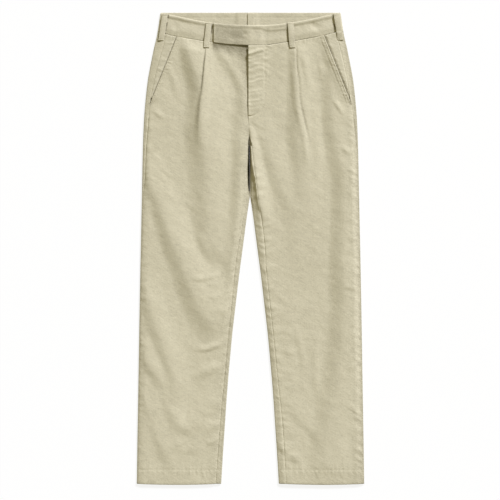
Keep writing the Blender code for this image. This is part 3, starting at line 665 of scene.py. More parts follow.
def linen(name, color, weave, seed):
    """Plain woven linen: crossing yarns, slubs, soft blotches and a dry, slightly hairy sheen."""
    material = bpy.data.materials.new(name)
    material.use_nodes = True
    nodes, links = material.node_tree.nodes, material.node_tree.links

    def node(kind, values=None, **settings):
        item = nodes.new(kind)
        for key, value in settings.items():
            setattr(item, key, value)
        wire(links, item, values or {})
        return item

    def maths(operation, first, second):
        return node("ShaderNodeMath", {0: first, 1: second}, operation=operation).outputs[0]

    def noise(vector, scale, detail, rough):
        return node("ShaderNodeTexNoise", {"Vector": vector, "Scale": scale, "Detail": detail,
                                           "Roughness": rough}).outputs["Fac"]

    def streaks(per_metre, turn, shift, detail, rough, scale=1):
        """Noise with its own fineness along each axis, turned by an angle."""
        shift += seed
        mapping = {"Vector": place, "Scale": tuple(1 / value for value in per_metre),
                   "Rotation": (0, 0, math.radians(turn)), "Location": (shift, shift * 0.7, 0)}
        mapped = node("ShaderNodeMapping", mapping, vector_type="TEXTURE").outputs["Vector"]
        return noise(mapped, scale, detail, rough)

    def yarn(direction):
        scale = 2 * math.pi / (20 * YARN_PITCH) * weave
        return node("ShaderNodeTexWave", {"Vector": place, "Scale": scale, "Distortion": 1.6,
                                          "Detail": 1, "Detail Scale": 0.35},
                    wave_type="BANDS", bands_direction=direction).outputs["Fac"]

    place = node("ShaderNodeTexCoord").outputs["Object"]
    cloth = maths("MAXIMUM", yarn("X"), yarn("Y"))
    waver = streaks((40, 40, 40), 0, 0, 1, 0.5, 2)
    slub_weft = streaks((70, 900, 200), 0, 0, 2, 0.6)
    slub_warp = streaks((900, 60, 200), 0, 3, 2, 0.6)
    grain = streaks((80, 330, 200), -31, 1, 3, 0.62)
    blotch = streaks((16, 26, 20), -20, 2, 3, 0.55)
    fleck = streaks((260, 460, 200), -28, 4, 1, 0.5)
    fuzz = noise(place, 2600, 2, 0.7)
    # the painted shade and painted light of the mesh set the place in the colour ramp
    place_in_ramp = node("ShaderNodeAttribute", attribute_name="painted_shading").outputs["Fac"]
    place_in_ramp = maths("ADD", place_in_ramp, 0.5)
    for value, amount in ((slub_weft, 0.16), (slub_warp, 0.14), (grain, 0.26), (blotch, 0.08),
                          (fuzz, 0.10), (cloth, 0.10), (waver, 0.05), (fleck, 0.20)):
        centred = maths("MULTIPLY", maths("SUBTRACT", value, 0.5), amount)
        place_in_ramp = maths("ADD", place_in_ramp, centred)
    ramp = node("ShaderNodeValToRGB", {"Fac": place_in_ramp})
    stops = ramp.color_ramp.elements
    stops[0].position, stops[1].position = 0, 1
    # the lowest stops serve mostly the painted shade, down to the painted black between the legs; the weave
    # and slubs move the place a little either way
    factors = {0: (0.030, 0.028, 0.020), 1: (1.50, 1.50, 1.54), 0.07: (0.26, 0.24, 0.19), 0.5: (1, 1, 1)}
    for at, factor in factors.items():
        stop = stops[at] if at in (0, 1) else stops.new(at)
        stop.color = (*(min(1, c * f) for c, f in zip(color, factor)), 1)
    # sheen and specular fade out where the painted shade is near black
    outside_painted_black = node("ShaderNodeMapRange", {"From Min": 0.02, "From Max": 0.30,
                                             "Value": place_in_ramp}).outputs["Result"]
    height = 0
    for value, amount in ((cloth, 0.55), (fuzz, 0.25), (slub_weft, 0.8), (slub_warp, 0.7), (grain, 1.6)):
        height = maths("ADD", height, maths("MULTIPLY", value, amount))
    relief = node("ShaderNodeBump", {"Strength": 0.45, "Distance": 0.00035, "Height": height})
    wire(links, nodes["Principled BSDF"], {
        "Base Color": ramp.outputs["Color"], "Roughness": 0.88, "Normal": relief.outputs["Normal"],
        "Specular IOR Level": maths("MULTIPLY", outside_painted_black, 0.28),
        "Sheen Weight": maths("MULTIPLY", outside_painted_black, 0.22),
        "Sheen Roughness": 0.55, "Sheen Tint": (0.95, 0.93, 0.82, 1)})
    return material


materials = {look: linen(look + "_cloth", color, weave, seed) for look, color, weave, seed in (
    ("panel_linen", (0.600, 0.553, 0.392), 1, 0),
    ("facing_linen", (0.585, 0.540, 0.385), 1, 5),
    ("band_linen", (0.595, 0.548, 0.390), 1, 9),
    ("loop_linen", (0.605, 0.558, 0.400), 1, 14),
    ("thread", (0.560, 0.515, 0.365), 1.6, 20))}


# ---- panels
def panel_rows():
    """Heights of the rows below the crotch."""
    turn_y = HEM_Y + HEM_TURN + 6
    return np.concatenate([[CROTCH_Y + 2, CROTCH_Y - 1.5, CROTCH_Y - 3.5],
                           np.linspace(CROTCH_Y - 5.5, turn_y, 284), np.linspace(turn_y, HEM_Y, 24)[1:]])


def front_columns(side, y):
    """Places across the front, closer at its edges and at the pleat, in a last axis."""
    outer, inner = front_outer_x(side, y), front_inner_x(side, y)
    crest = pleat_x[side](y)
    opened = ease(y, 290, 40)
    foot = crest + side * (PLEAT_STEP + (PLEAT_OPEN_WIDTH - PLEAT_STEP) * opened)
    edge = 1.2 * side

    def spread(a, b, count):
        return [a + (b - a) * t for t in np.linspace(0, 1, count)]

    columns = ([outer] + spread(outer - edge, foot, 39) + spread(foot, crest, 4)[1:-1]
               + spread(crest, inner + edge, 44) + [inner])
    return np.stack(columns, axis=-1)


def front_xs(side, ys):
    """Place of each column at its own height."""
    return np.diagonal(front_columns(side, ys))


def from_waist_rows(xs_at, count, start, foot, shares):
    """Rows between the waist seam and the height of the foot, as lists of x and y."""
    rows = []
    for share in shares:
        ys = np.full(count, float(start))
        for _ in range(4):               # the seam's height depends on x, and x on the height
            xs = xs_at(ys)
            ys = (seam_y(xs) - HALF_GAP) * (1 - share) + foot * share
        rows.append((xs, ys))
    return rows


def add_front(side, name):
    lower = panel_rows()
    count = front_columns(side, 0).shape[-1]
    rows = from_waist_rows(lambda ys: front_xs(side, ys), count, 445, lower[0],
                           np.linspace(0, 1, 126)[:-1])
    for y in lower:
        xs = front_columns(side, y)
        ys = y + hem_drop((xs - xs[0]) / (xs[-1] - xs[0]), y)
        rows.append((front_xs(side, ys), ys))
    x, y = np.array(rows).transpose(1, 0, 2)
    points = np.stack([x, y, front_z(side, x, y)], axis=-1)
    # the front carries the painted shade and painted light of the panels
    return add_shell(name, points, CLOTH, "panel_linen", side > 0, painted_shading=panel_painted_shading(side, x, y))


def loop_painted_shade(x, y):
    """Painted shade in the hollow beside a belt loop, on the side of the middle, and close round its edges.
    """
    painted_shading = np.zeros(x.shape)
    for _, x_top, x_bottom, y_bottom, width in FRONT_LOOPS:
        y_top = float(band_top_y(x_top))
        t = (y_top - y) / (y_top - y_bottom)
        side = 1 if x_top > 0 else -1
        at_side = abs(x_top) > 150
        middle = x_top + (x_bottom - x_top) * np.clip(t, 0, 1)
        beside = side * (middle - x) - 0.5 * width
        length = ease(t, -0.02, 0.04) * ease(t, 1, 0.92)
        if side < 0:
            length *= 1 - (0.45 if at_side else 1) * ease(t, 0.42, 0.5)
        width_here = 4.2 if side > 0 and at_side else 2.6
        hollow = smooth(beside + 1.5) * smooth(1 - (beside - 1.8) / width_here) * length
        around = smooth(1 - (np.abs(x - middle) - 0.5 * width) / 1.6)
        around *= ease(t, -0.01, 0.02) * ease(t, 1.05, 1.02)
        strong = pick(side, 0.36, 0.30 if at_side else 0.22)
        painted_shading = np.minimum(painted_shading, np.minimum(-strong * hollow, -0.16 * around))
    return painted_shading


def panel_painted_shading(side, x, y):
    """Painted shade where deep places hold less light: between the legs, beside a loop, along an opening, in
    the fold of a pleat, under the tab, round the tack at the foot of the pocket and along the edges and the
    hem. Painted light on the strip beside the inseam of the wearer's left leg.
    """
    from_outer, from_inner = from_edges(side, x, y)
    # painted light on the wearer's left and a faint painted shade on the wearer's right, on the strip beside
    # the inseam
    strip = 1 - smooth((from_inner - inseam[side](y) + 1.5) / 2.5)
    painted_shading = pick(side, -0.02, 0.14) * strip * ease(y, 20, 110) * ease(y, 190, 150)
    # painted black shade deep between the legs
    black = 1 - smooth((from_inner - deep_width[side](y)) / 2 + 0.55)
    painted_shading -= 0.60 * black * ease(y, 258, 213) * ease(y, 110, 146)
    outward = side * (x - pleat_x[side](y))
    if side < 0:
        # painted shade in the fold of the pleat
        width = right_pleat_width(y)
        folded = ease(y, 250, 300) * ease(y, 462, 417) * (0.16 + 0.20 * ease(y, 330, 390))
        painted_shading = np.minimum(painted_shading, -folded * bump((outward - 0.35 * width) / (0.5 * width + 0.8)))
        # painted shadow of the tab on the front below it
        under_tab = seam_y(x) - y
        corner = ease(x, -72, -18)
        shaded = ease(x, -88, -82) * ease(x, 2, -1) * smooth(under_tab / 2)
        shaded *= 1 - smooth(under_tab / (26 + 14 * corner))
        painted_shading = np.minimum(painted_shading, -(0.35 - 0.10 * corner) * shaded)
    else:
        # painted shade in the crevice beside the pleat fold
        width = 1.6 + 2.6 * ease(y, 385, 305)
        folded = ease(y, 236, 286) * ease(y, 470, 440)
        painted_shading = np.minimum(painted_shading, -0.16 * folded * bump((outward - 0.6) / width))
    # painted shade round the bar tack at the foot of the pocket opening
    tack = np.hypot((x - opening_x(side, POCKET_END_Y + 2)) / 1.4, y - POCKET_END_Y - 1)
    painted_shading = np.minimum(painted_shading, -0.22 * ease(tack, 5, 0))
    # painted shade along the edges where the cloth rounds away, wider along the edge that faces the key lamp,
    # and along the inner edges and the hem
    lit = pick(side, from_inner, from_outer)
    painted_shading -= 0.09 * ease(from_outer, 10, 0) + 0.08 * ease(lit, 38, 0)
    painted_shading -= 0.05 * ease(from_inner, 10, 0) * legs_apart(y)
    painted_shading -= 0.09 * ease(y, HEM_Y + 6, HEM_Y)
    return np.minimum(painted_shading, loop_painted_shade(x, y))


def edge_section(a, radius):
    """Distance from the edge and height at length a along a rounded edge."""
    quarter = radius * math.pi / 2
    angle = np.clip(a / radius, -math.pi / 2, math.pi / 2)
    turning = np.abs(a) < quarter
    d = np.where(turning, radius * (1 - np.cos(angle)), radius + np.abs(a) - quarter)
    return d, np.where(turning, radius * (1 + np.sin(angle)), np.where(a > 0, 2 * radius, 0))


def arc_position(strip, radius):
    """Length along a rounded edge at a distance from the edge."""
    if strip < radius:
        return radius * math.acos(1 - strip / radius)
    return radius * math.pi / 2 + strip - radius


def outer_section(side, y):
    """Section of the back panel round the outer edge."""
    quarter = LEG_RADIUS * math.pi / 2
    start = arc_position(float(outseam[side](y)) - HALF_GAP, LEG_RADIUS)
    split = min(start * 0.6, quarter)
    positions = np.concatenate([np.linspace(start, split, 9), np.linspace(split, -quarter, 8)[1:]])
    d, z = edge_section(positions, LEG_RADIUS)
    return side * (float(half_width(y)) - d), z


def back_inner_path(side, y):
    """Section of the back panel near the centre back or the inner edge of the leg."""
    radius = LEG_RADIUS
    quarter = radius * math.pi / 2
    flat = 31                            # this much of the flat part belongs to the section
    closing = float(ease(y, CROTCH_Y - 5, CROTCH_Y - 29))
    end = low_end = radius * math.asin(CROTCH_WALL / radius - 1)
    if y > CROTCH_Y:
        base_x = centre(y) + (CENTRE_BACK_TOP + 4.8) * ease(y, 300, 420) + side * HALF_GAP
        wall = CROTCH_WALL * float(ease(y, 330, 272))
        corner = max(min(radius, wall * 0.78), 1e-6)
    else:
        base_x = centre(y) + side * (0.2 * HALF_GAP if y > MEET_Y else float(half_space(y)))
        wall = CROTCH_WALL
        corner = radius
    angles = math.pi / 2 * np.arange(1, 13) / 12
    path = [(flat, 0), (corner, 0)]
    path += list(zip(corner * (1 - np.sin(angles)), corner * (1 - np.cos(angles))))
    if y <= CROTCH_Y:
        full_end = arc_position(float(inseam[side](y)), radius)
        end = low_end + (full_end - low_end) * closing
        path += list(zip(*edge_section(end * np.arange(1, 17) / 16, radius)))
    elif wall > corner:
        path.append((0, wall))
    path = np.array(path, float)
    length = np.cumsum([0, *np.hypot(*np.diff(path, axis=0).T)])
    level = flat - corner
    split = level + quarter + min(end * 0.6, quarter)
    rest = np.linspace(level, length[-1], 18)
    if y <= CROTCH_Y:
        closed = np.concatenate([np.linspace(level, split, 8), np.linspace(split, length[-1], 11)[1:]])
        rest = rest * (1 - closing) + closed * closing
    keyed = np.concatenate([np.linspace(0, level, 8)[:-1], rest])
    share = float(smooth(wall / CROTCH_WALL))
    keyed = np.linspace(0, length[-1], len(keyed)) * (1 - share) + keyed * share
    return base_x + side * np.interp(keyed, length, path[:, 0]), np.interp(keyed, length, path[:, 1])


def back_arch(x, y):
    """Rise of the back over the belt loop beneath it."""
    beside = smooth((30 - np.abs(x - CENTRE_BACK_TOP)) / 13)
    return BACK_ARCH * beside * ease(y, BACK_LOOP_END_Y - 14, BACK_LOOP_END_Y - 4)


def under_relief(side, x, y):
    """Creases that press up into the flat underside."""
    from_outer, from_inner = from_edges(side, x, y)
    z = crease_height(UNDER_CREASES, x, y)
    z += 0.16 * (CRUMPLE(x + 300, y) + 1) + 0.10 * (RIPPLE(x, y + 90) + 1)
    z += 0.25 * (UNDER_BILLOW(x, y) + 1)
    fade = ease(from_outer, 3, 17) * ease(y, BACK_LOOP_END_Y - 18, BACK_LOOP_END_Y - 38)
    seat = np.abs(x - centre(y))
    fade *= ease(np.where(y > CROTCH_Y, seat, from_inner), 3, 17)
    stitch = y - HEM_STITCH_Y
    fade *= 1 - 0.8 * smooth(-stitch / 5)
    seam = 0.5 * bump((seat - 1) / 2.5) * ease(y, 335, 345) * ease(y, 466, 456)
    return z * fade + 0.5 * bump(stitch / 2.2) * ease(from_outer, 3, 8) + seam


def add_back(side, name):
    grid = []
    upper = [*np.linspace(SEAM_BACK, 286, 100), 281, 276.5, 272.5]
    for y in [*upper, *panel_rows()]:
        outer_x, outer_z = outer_section(side, y)
        inner_x, inner_z = back_inner_path(side, y)
        middle_x = np.linspace(outer_x[-1], inner_x[0], 48)[1:-1]
        xs = np.concatenate([outer_x, middle_x, inner_x])
        zs = np.concatenate([outer_z, np.zeros(len(middle_x)), inner_z])
        height = np.clip(zs / (2 * LEG_RADIUS), 0, 1)
        seam_here = seam_y(xs) * height + SEAM_BACK * (1 - height) - HALF_GAP
        ys = y + (seam_here - SEAM_BACK) * ease(y, 440, 480)
        edge = side * float(half_width(y))
        ys += hem_drop(np.clip((xs - edge) / (inner_x[-1] - edge), 0, 1), y)
        for k in range(len(outer_x)):
            xs[k] = outer_section(side, ys[k])[0][k]
        grid.append(np.stack([xs, ys, zs], axis=-1))
    x, y, z = np.moveaxis(np.array(grid), -1, 0)
    deep = np.arange(x.shape[1]) >= len(outer_x) + len(middle_x)
    on_top = z > 2 * LEG_RADIUS - 1e-6
    flat = z < 0.01
    sunk = 1 - SUNK / (2 * LEG_RADIUS) * groove(y)
    below = np.where(deep & ~on_top & (y < CROTCH_Y), z * sunk, z)
    tucked = 1 - 0.32 * ease(y, 226, 234) * (y < CROTCH_Y)
    z = np.where(on_top, top_z(side, x, y), below) * np.where(deep & (z > 0.6), tucked, 1)
    z = np.where(flat, back_arch(x, y) + under_relief(side, x, y), z)
    # painted shade and painted light on the parts of the back that stand up from the floor
    painted_shading = np.where((z > 0.6) & ~flat, panel_painted_shading(side, x, y), 0)
    return add_shell(name, np.stack([x, y, z], axis=-1), CLOTH, "panel_linen", side < 0, painted_shading=painted_shading)


def add_facing(side, name):
    """Pocket facing: outseam to a little way under the front."""
    q = np.linspace(0, 1, 27)

    def xs_at(ys):
        start = seam_x(side, ys)
        return start + (opening_x(side, ys) - side * FACING_UNDER - start) * q

    rows = from_waist_rows(xs_at, len(q), 480, FACING_END_Y, np.linspace(0, 1, 84))
    x, y = np.array(rows).transpose(1, 0, 2)
    z = top_z(side, x, y) + pocket_raise(side, x, y) - LAYER
    outward = side * (x - opening_x(side, y))
    from_seam = half_width(y) - outseam[side](y) - side * x
    z += STRIP_PUCKERS[side](y, np.maximum(outward, 0)) * smooth(outward / 4)
    z -= pick(side, 1, 1.5) * bump((outward - 2) / 4.5)
    z -= 0.5 * ease(from_seam, 2.4, 0) + 0.5 * ease(y, FACING_END_Y + 30, FACING_END_Y + 6)
    # painted shade in the mouth of the pocket, along the opening
    painted_shading = pick(side, -0.40, -0.47) * ease(y, 334, 348) * bump((outward - 0.4) / pick(side, 3, 4))
    return add_shell(name, np.stack([x, y, z], axis=-1), CLOTH, "facing_linen", side > 0, painted_shading=painted_shading)


# ---- waistband
def band_z(side, x, y):
    """Outer face of the waistband on the front, under the tab."""
    from_outer = half_width(y) - side * x
    t = (y - seam_y(x)) / (band_top_y(x) - seam_y(x))
    cushion = 0.35 * np.sin(math.pi * np.clip(t, 0, 1)) * smooth(from_outer / 16)
    return 2 * BAND_RADIUS + 2.4 * smooth(from_outer / 80) + cushion


def band_detail(x, y):
    """Rolled top edge, the trough below it and the small dents of a sewn band."""
    below_top = band_top_y(x) - y
    above_seam = y - seam_y(x)
    under_tab = ease(x, -90, -80) * ease(x, 10, -6)
    low_at = 11 + 6 * ease(x, 20, 45) * ease(x, 96, 76)
    fall = smooth((below_top - low_at + 6) / 6) * (1 - smooth((below_top - low_at + 0.5) / 22))
    z = 0.8 * bump((below_top - 3) / 6) - 1.2 * (1 - 0.85 * under_tab) * fall
    z += BAND_TOP_PUCKERS(x, np.abs(below_top - 11)) - 0.5 * ease(below_top, 1.8, 0)
    z += BAND_PUCKERS(x, above_seam) - 0.5 * ease(above_seam, 2.2, 0)
    z -= (1 - 0.4 * under_tab) * ease(above_seam, 14, 0)
    z += 0.28 * BAND_NOISE(x, y) + 0.12 * RIPPLE(x, y)
    return z + crease_height(BAND_DENTS, x, y, first=30, last=30)


def band_painted_shade(x, y):
    """Painted shade beside the loops, along the waist seam, in the hollow of the tab and faintly across the
    middle of the band on the wearer's left of the fly.
    """
    above_seam = y - seam_y(x)
    height = above_seam / (band_top_y(x) - seam_y(x))
    painted_shading = loop_painted_shade(x, y) - (0.22 + 0.14 * ease(x, 4, 12)) * ease(above_seam, 1.8, 0)
    uneven = 0.04 * CRUMPLE_ACROSS(x * 1.6, y * 1.6) + 0.04 * ease(x, -46, -58)
    low_part = ease(height, 0.2, 0.45) * ease(height, 0.86, 0.66)
    painted_shading -= ease(x, -86, -74) * ease(x, 6, -24) * (0.13 + (0.03 + uneven) * low_part)
    faint = 0.05 * ease(x, 4, 14) * ease(x, 86, 66)
    return painted_shading - faint * ease(height, 0.8, 0.7) * ease(height, 0.3, 0.5)


def tab_raise(x):
    proud = BAND_CLOTH + GAP + ease(x, 40, -10) + 1.8 * bump((x + 2) / 44)
    return proud * (1 - ease(x, *TAB_FALL))


def inner_band_relief(x, y):
    """Inside of the band at the back: facing edge, stitch lines and joins."""
    top = BACK_TOP - y
    z = -0.2 * bump((top - 10.6) / 3) + 0.1 * smooth((10 - top) / 3)
    z -= 0.45 * bump((x + 62) / 2.4) * ease(top, 12, 14) + 0.6 * bump((x - CENTRE_BACK_TOP) / 2)
    return z + 0.35 * BAND_NOISE(x + 60, y + 40) + 0.12 * RIPPLE(x, y)


def add_band(side, name):
    """Half of the waistband: centre back, round the side, to the front end."""
    quarter = BAND_RADIUS * math.pi / 2
    turn_d, turn_z = edge_section(np.linspace(-quarter, quarter, 12)[1:-1], BAND_RADIUS)
    first = CENTRE_BACK_TOP + side * (HALF_GAP + np.linspace(0, 30, 16))
    end_x = TAB_END_X if side > 0 else float(centre(500)) + FLY_WIDTH
    grid = []
    for share in np.linspace(1, 0, 30):
        back_y = SEAM_BACK + HALF_GAP + (BACK_TOP - SEAM_BACK - HALF_GAP) * share
        edge = float(half_width(back_y))
        turn_x = side * (edge - BAND_RADIUS)
        under = np.concatenate([first, np.linspace(first[-1], turn_x, 72)[1:]])
        near = turn_x - side * np.linspace(0, 16, 9)
        over = np.concatenate([near, np.linspace(near[-1], end_x, pick(side, 106, 148))[1:]])
        xs = np.concatenate([under, side * (edge - turn_d), over])
        front_y = seam_y(xs) + HALF_GAP
        front_y += (band_top_y(xs) - front_y) * share
        blend = np.concatenate([np.zeros(len(under)), turn_z / (2 * BAND_RADIUS), np.ones(len(over))])
        ys = back_y * (1 - blend) + front_y * blend
        over_y = ys[-len(over):]
        over_z = band_z(side, over, over_y)
        over_z += band_detail(over, over_y) * smooth((half_width(over_y) - side * over) / 14)
        if side > 0:
            over_z += tab_raise(over)
        zs = np.concatenate([back_arch(under, ys[:len(under)]), turn_z, over_z])
        grid.append(np.stack([xs, ys, zs], axis=-1))
    points = np.array(grid)
    x, y, z = np.moveaxis(points, -1, 0)
    inner = inner_band_relief(x, y) * (np.arange(x.shape[1]) < len(under))
    inner *= smooth((196 - side * x) / 8)
    # painted shade on the front face of the band
    painted_shading = band_painted_shade(x, y) * (z > 2 * BAND_RADIUS)
    return add_shell(name, points, BAND_CLOTH, "band_linen", side > 0, inner, painted_shading)


# ---- loops and tape
faces_of = {}            # outer face of each loop, for its rows of stitches


def seam_ridges(u):
    """Troughs of the two rows of stitches along a loop; u runs from -0.5 to 0.5 across it."""
    return bump((np.abs(u) - 0.33) / 0.09)


def add_front_loop(name, x_top, x_bottom, y_bottom, width):
    side = -1 if x_top < 0 else 1
    y_top = float(band_top_y(x_top)) - 0.6
    seam_height = float(seam_y(x_bottom))
    beside_opening = abs(x_top) > abs(POCKET_TOP_X[side])
    panel_z = top_z if beside_opening else front_z
    cols = 13
    u = np.linspace(-0.5, 0.5, cols)
    across = 0.35 * (1 - (2 * u) ** 2) - 0.22 * seam_ridges(u)
    grid = []
    for t in np.linspace(0, 1, 42):
        y = y_top + (y_bottom - y_top) * t
        ys = np.full(cols, y)
        xs = x_top + (x_bottom - x_top) * t + u * width + 0.35 * math.sin(5 * t + x_top)
        inside = side * np.minimum(side * xs, half_width(y) - 5)
        middle = np.full(cols, inside[cols // 2])
        on_band = band_z(side, middle, ys) + 0.2
        on_panel = panel_z(side, middle, np.minimum(ys, seam_height))
        share = ease(y, seam_height + 1.5, seam_height - 6.5)
        under = np.maximum(on_band * (1 - share) + on_panel * share, on_panel)
        if y > seam_height - 1:
            under = np.maximum(under, on_band)
        rest = GAP + LOOP_CLOTH + (0.2 if beside_opening else 0.4 + 0.1 * t)
        arch = pick(side, 0.5, 1.2) * math.sin(math.pi * min(1, max(0, (t - 0.03) / 0.85)))
        tack = bump(min(abs(t - 0.06), abs(t - 0.93)) / 0.035)
        zs = under + rest + arch + across - 0.7 * ease(t, 0.9, 1) - 0.35 * tack
        grid.append(np.stack([xs, ys, zs], axis=-1))
    faces_of[name] = np.array(grid)
    return add_shell(name, faces_of[name], LOOP_CLOTH, "loop_linen")


def add_back_loop(name):
    u = np.linspace(-0.5, 0.5, 13)
    x, y = np.meshgrid(CENTRE_BACK_TOP + u * BACK_LOOP_WIDTH,
                       np.linspace(BACK_TOP - 1.5, BACK_LOOP_END_Y, 34))
    z = 0.18 * seam_ridges(u) + 0.12 * (RIPPLE(x * 2, y) + 1)
    faces_of[name] = np.stack([x, y, z], axis=-1)[:, ::-1]
    return add_shell(name, faces_of[name], LOOP_CLOTH, "loop_linen")


def add_tape(name):
    x, y = np.meshgrid(np.linspace(*TAPE_X, 15), np.linspace(*TAPE_Y[::-1], 24))
    z = back_arch(x, y) + BAND_CLOTH + 0.55 + GAP + TAPE_CLOTH + 0.1 * CRUMPLE(x * 2, y * 2)
    return add_shell(name, np.stack([x, y, z], axis=-1), TAPE_CLOTH, "facing_linen")


# ---- stitches
STITCH_HEIGHT = 0.34


def add_stitches(name, lines, up=1, pitch=3.1, length=2.4, wide=0.62):
    """Short rounded threads along lines of points that lie on the cloth, as one piece."""
    random = np.random.RandomState(len(name) * 7 + len(lines))
    share = np.array([0, 0.22, 0.78, 1])
    size = np.array([0.35, 1, 1, 0.35])[:, None]
    rise = np.array([0.02, STITCH_HEIGHT, STITCH_HEIGHT, 0.02])[:, None] * (0, 0, up)
    sink = np.array([0, 0, -0.12 * up])
    quads = [(3, 2, 1, 0)]
    for k in (0, 4, 8):
        quads += [(k + j, k + (j + 1) % 4, k + (j + 1) % 4 + 4, k + j + 4) for j in range(4)]
    quads.append((12, 13, 14, 15))
    points = []
    for line in lines:
        line = np.asarray(line, float)
        done = np.cumsum([0, *np.linalg.norm(np.diff(line, axis=0), axis=1)])
        for start in np.arange(0.3, done[-1] - length, pitch):
            at = start + random.uniform(-0.12, 0.12) + length * share
            middle = np.stack([np.interp(at, done, line[:, k]) for k in range(3)], axis=-1)
            along = middle[-1] - middle[0]
            across = np.cross(along / np.linalg.norm(along), (0, 0, up))
            across *= 0.5 * wide / np.linalg.norm(across)
            ring = [middle - across * size, middle + rise, middle + across * size, middle + sink]
            points.append(np.stack(ring, axis=1).reshape(-1, 3))
    faces = np.array(quads) + 16 * np.arange(len(points))[:, None, None]
    piece = new_piece(name, np.concatenate(points), faces.reshape(-1, 4), "thread")
    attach(piece, "root")
    return piece


def on_front(side, x, y):
    x, y = np.broadcast_arrays(np.asarray(x, float), np.asarray(y, float))
    return np.stack([x, y, front_z(side, x, y) + 0.05], axis=-1)


def front_rows(side):
    """Two rows beside the pocket opening, the hem row and a tack at the foot of the pocket."""
    y = np.linspace(POCKET_END_Y + 2, POCKET_TOP_Y - 6, 260)
    rows = []
    for inward in (2.4, 8.6):
        x = opening_x(side, y) - side * inward
        keep = y < seam_y(x) - 2
        rows.append(on_front(side, x[keep], y[keep]))
    edge = side * (half_width(HEM_Y + HEM_TURN) - 5)
    inner = float(front_inner_x(side, HEM_Y + HEM_TURN))
    rows.append(on_front(side, np.linspace(edge, inner + side * 3, 260), HEM_STITCH_Y))
    x = np.linspace(0.6, 9, 12)
    for shift in (0, 0.9, 1.8):
        rows.append(on_front(side, opening_x(side, POCKET_END_Y + 1) - side * x,
                             POCKET_END_Y + 3.5 + shift + 0.10 * x))
    return rows


def fly_rows():
    """The row beside the fly with its curved end, and a tack where it meets the fly edge."""
    y = np.linspace(452, J_TURN_Y, 200)
    straight = on_front(1, j_stitch_x(y), y)
    turn = np.linspace(0.03, math.pi / 2 - 0.06, 90)
    y = J_TURN_Y - J_DROP * np.sin(turn)
    curved = on_front(1, centre(y) + J_REACH * np.cos(turn), y)
    tack_x = centre(300) + np.linspace(1.2, 9, 12)
    return [np.concatenate([straight, curved])] + [on_front(1, tack_x, y) for y in (299, 299.9)]


def hem_under_rows(side):
    edges = side * (half_width(HEM_STITCH_Y) - 6), side * (half_space(HEM_STITCH_Y) + 6)
    x = np.linspace(*edges, 260)
    y = np.full(x.shape, HEM_STITCH_Y)
    return [np.stack([x, y, under_relief(side, x, y) - 0.05], axis=-1)]


def loop_rows(name):
    """A row along each edge of a loop and a tack across each end."""
    grid = faces_of[name]

    def line(lines, share):
        """The line of a grid at a share of its width."""
        place = share * (len(lines) - 1)
        k, t = int(place), place % 1
        return lines[k] * (1 - t) + lines[k + 1] * t

    rows = [line(grid[3:-3].swapaxes(0, 1), share) for share in (0.17, 0.83)]
    return rows + [line(grid[:, 1:-1], share) - (0, shift, 0) for share in (0.05, 0.93)
                   for shift in (0, 0.9)]


# ---- pieces
# kind of panel: its slot, and the function that makes it
PANELS = {"back": ("panel_linen", add_back), "pocket_facing": ("facing_linen", add_facing),
          "front": ("panel_linen", add_front), "waistband": ("band_linen", add_band)}
SIDES = ((1, "left"), (-1, "right"))
pieces, slots, sewn = {}, {}, {}
for side, word in SIDES:
    for kind, (slot, add) in PANELS.items():
        node_name = kind + "_" + word
        pieces[node_name] = add(side, "cloth_" + node_name)
        slots[node_name] = slot
for loop, *sizes in FRONT_LOOPS:
    pieces[loop] = add_front_loop("cloth_" + loop, *sizes)
pieces["belt_loop_back"] = add_back_loop("cloth_belt_loop_back")
pieces["centre_back_tape"] = add_tape("cloth_centre_back_tape")
slots["centre_back_tape"] = "facing_linen"
for side, word in SIDES:
    rows = front_rows(side) + (fly_rows() if side > 0 else [])
    sewn["front_" + word] = add_stitches("stitches_front_" + word, rows)
    sewn["back_" + word] = add_stitches("stitches_back_" + word, hem_under_rows(side), -1)
for loop in [row[0] for row in FRONT_LOOPS] + ["belt_loop_back"]:
    up = -1 if loop == "belt_loop_back" else 1
    sewn[loop] = add_stitches("stitches_" + loop, loop_rows("cloth_" + loop), up, 2.6, 2, 0.55)
for node_name, piece in pieces.items():
    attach(piece, "root")
    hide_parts(node_name)

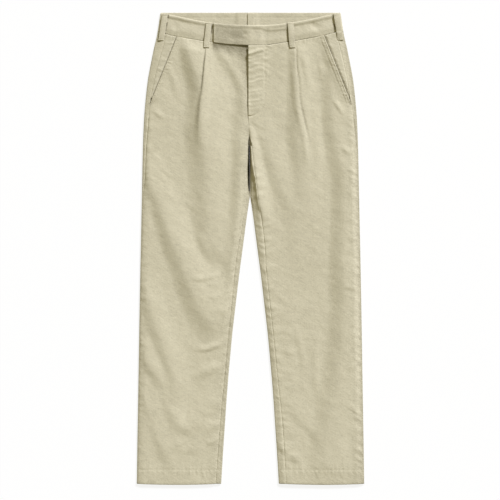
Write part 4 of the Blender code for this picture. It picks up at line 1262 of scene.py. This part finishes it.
# ---- stage
FLOOR_GLOW = 0.845       # a light table: hardly any shadow shows round the garment
FILL_STRENGTH = 0.30
KEY_STRENGTH = 4.2
KEY_SPREAD = 11.0        # degrees
KEY_FROM = (57, 30)      # degrees from +X toward +Y, and above the floor
LENS, FILM = 85.0, 36.0
SEEN_WIDTH = 1.1218      # metres across the picture, at the height of the cloth


def place(name, data):
    obj = bpy.data.objects.new(name, data)
    bpy.context.scene.collection.objects.link(obj)
    return obj


floor_mesh = bpy.data.meshes.new("floor")
corners = [(x, y, -0.0004) for x, y in ((-6, -6), (6, -6), (6, 6), (-6, 6))]
floor_mesh.from_pydata(corners, [], [(0, 1, 2, 3)])
floor = place("floor", floor_mesh)
floor_look = bpy.data.materials.new("floor_paper")
floor_look.use_nodes = True
wire(None, floor_look.node_tree.nodes["Principled BSDF"], {
    "Base Color": (0.14, 0.14, 0.14, 1), "Roughness": 0.9,
    "Emission Color": (1, 1, 0.995, 1), "Emission Strength": FLOOR_GLOW})
floor_mesh.materials.append(floor_look)

world = bpy.data.worlds.new("studio")
bpy.context.scene.world = world
world.use_nodes = True
wire(None, world.node_tree.nodes["Background"], {"Color": (1.08, 1, 0.63, 1), "Strength": FILL_STRENGTH})

key_data = bpy.data.lights.new("key", "SUN")
key_data.energy = KEY_STRENGTH
key_data.angle = math.radians(KEY_SPREAD)
key_data.color = (0.972, 1, 1.165)
key = place("key", key_data)
azimuth, elevation = (math.radians(angle) for angle in KEY_FROM)
toward = Vector((math.cos(elevation) * math.cos(azimuth),
                 math.cos(elevation) * math.sin(azimuth), math.sin(elevation)))
key.location = toward * 3
key.rotation_euler = (-toward).to_track_quat("-Z", "Y").to_euler()

camera_data = bpy.data.cameras.new("camera")
camera_data.lens = LENS
camera_data.sensor_width = FILM
camera = place("camera", camera_data)
camera.location = (-0.0012, -0.0033, 0.008 + SEEN_WIDTH * LENS / FILM)
bpy.context.scene.camera = camera
bpy.context.scene.view_settings.view_transform = "Standard"

bpy.context.view_layer.update()
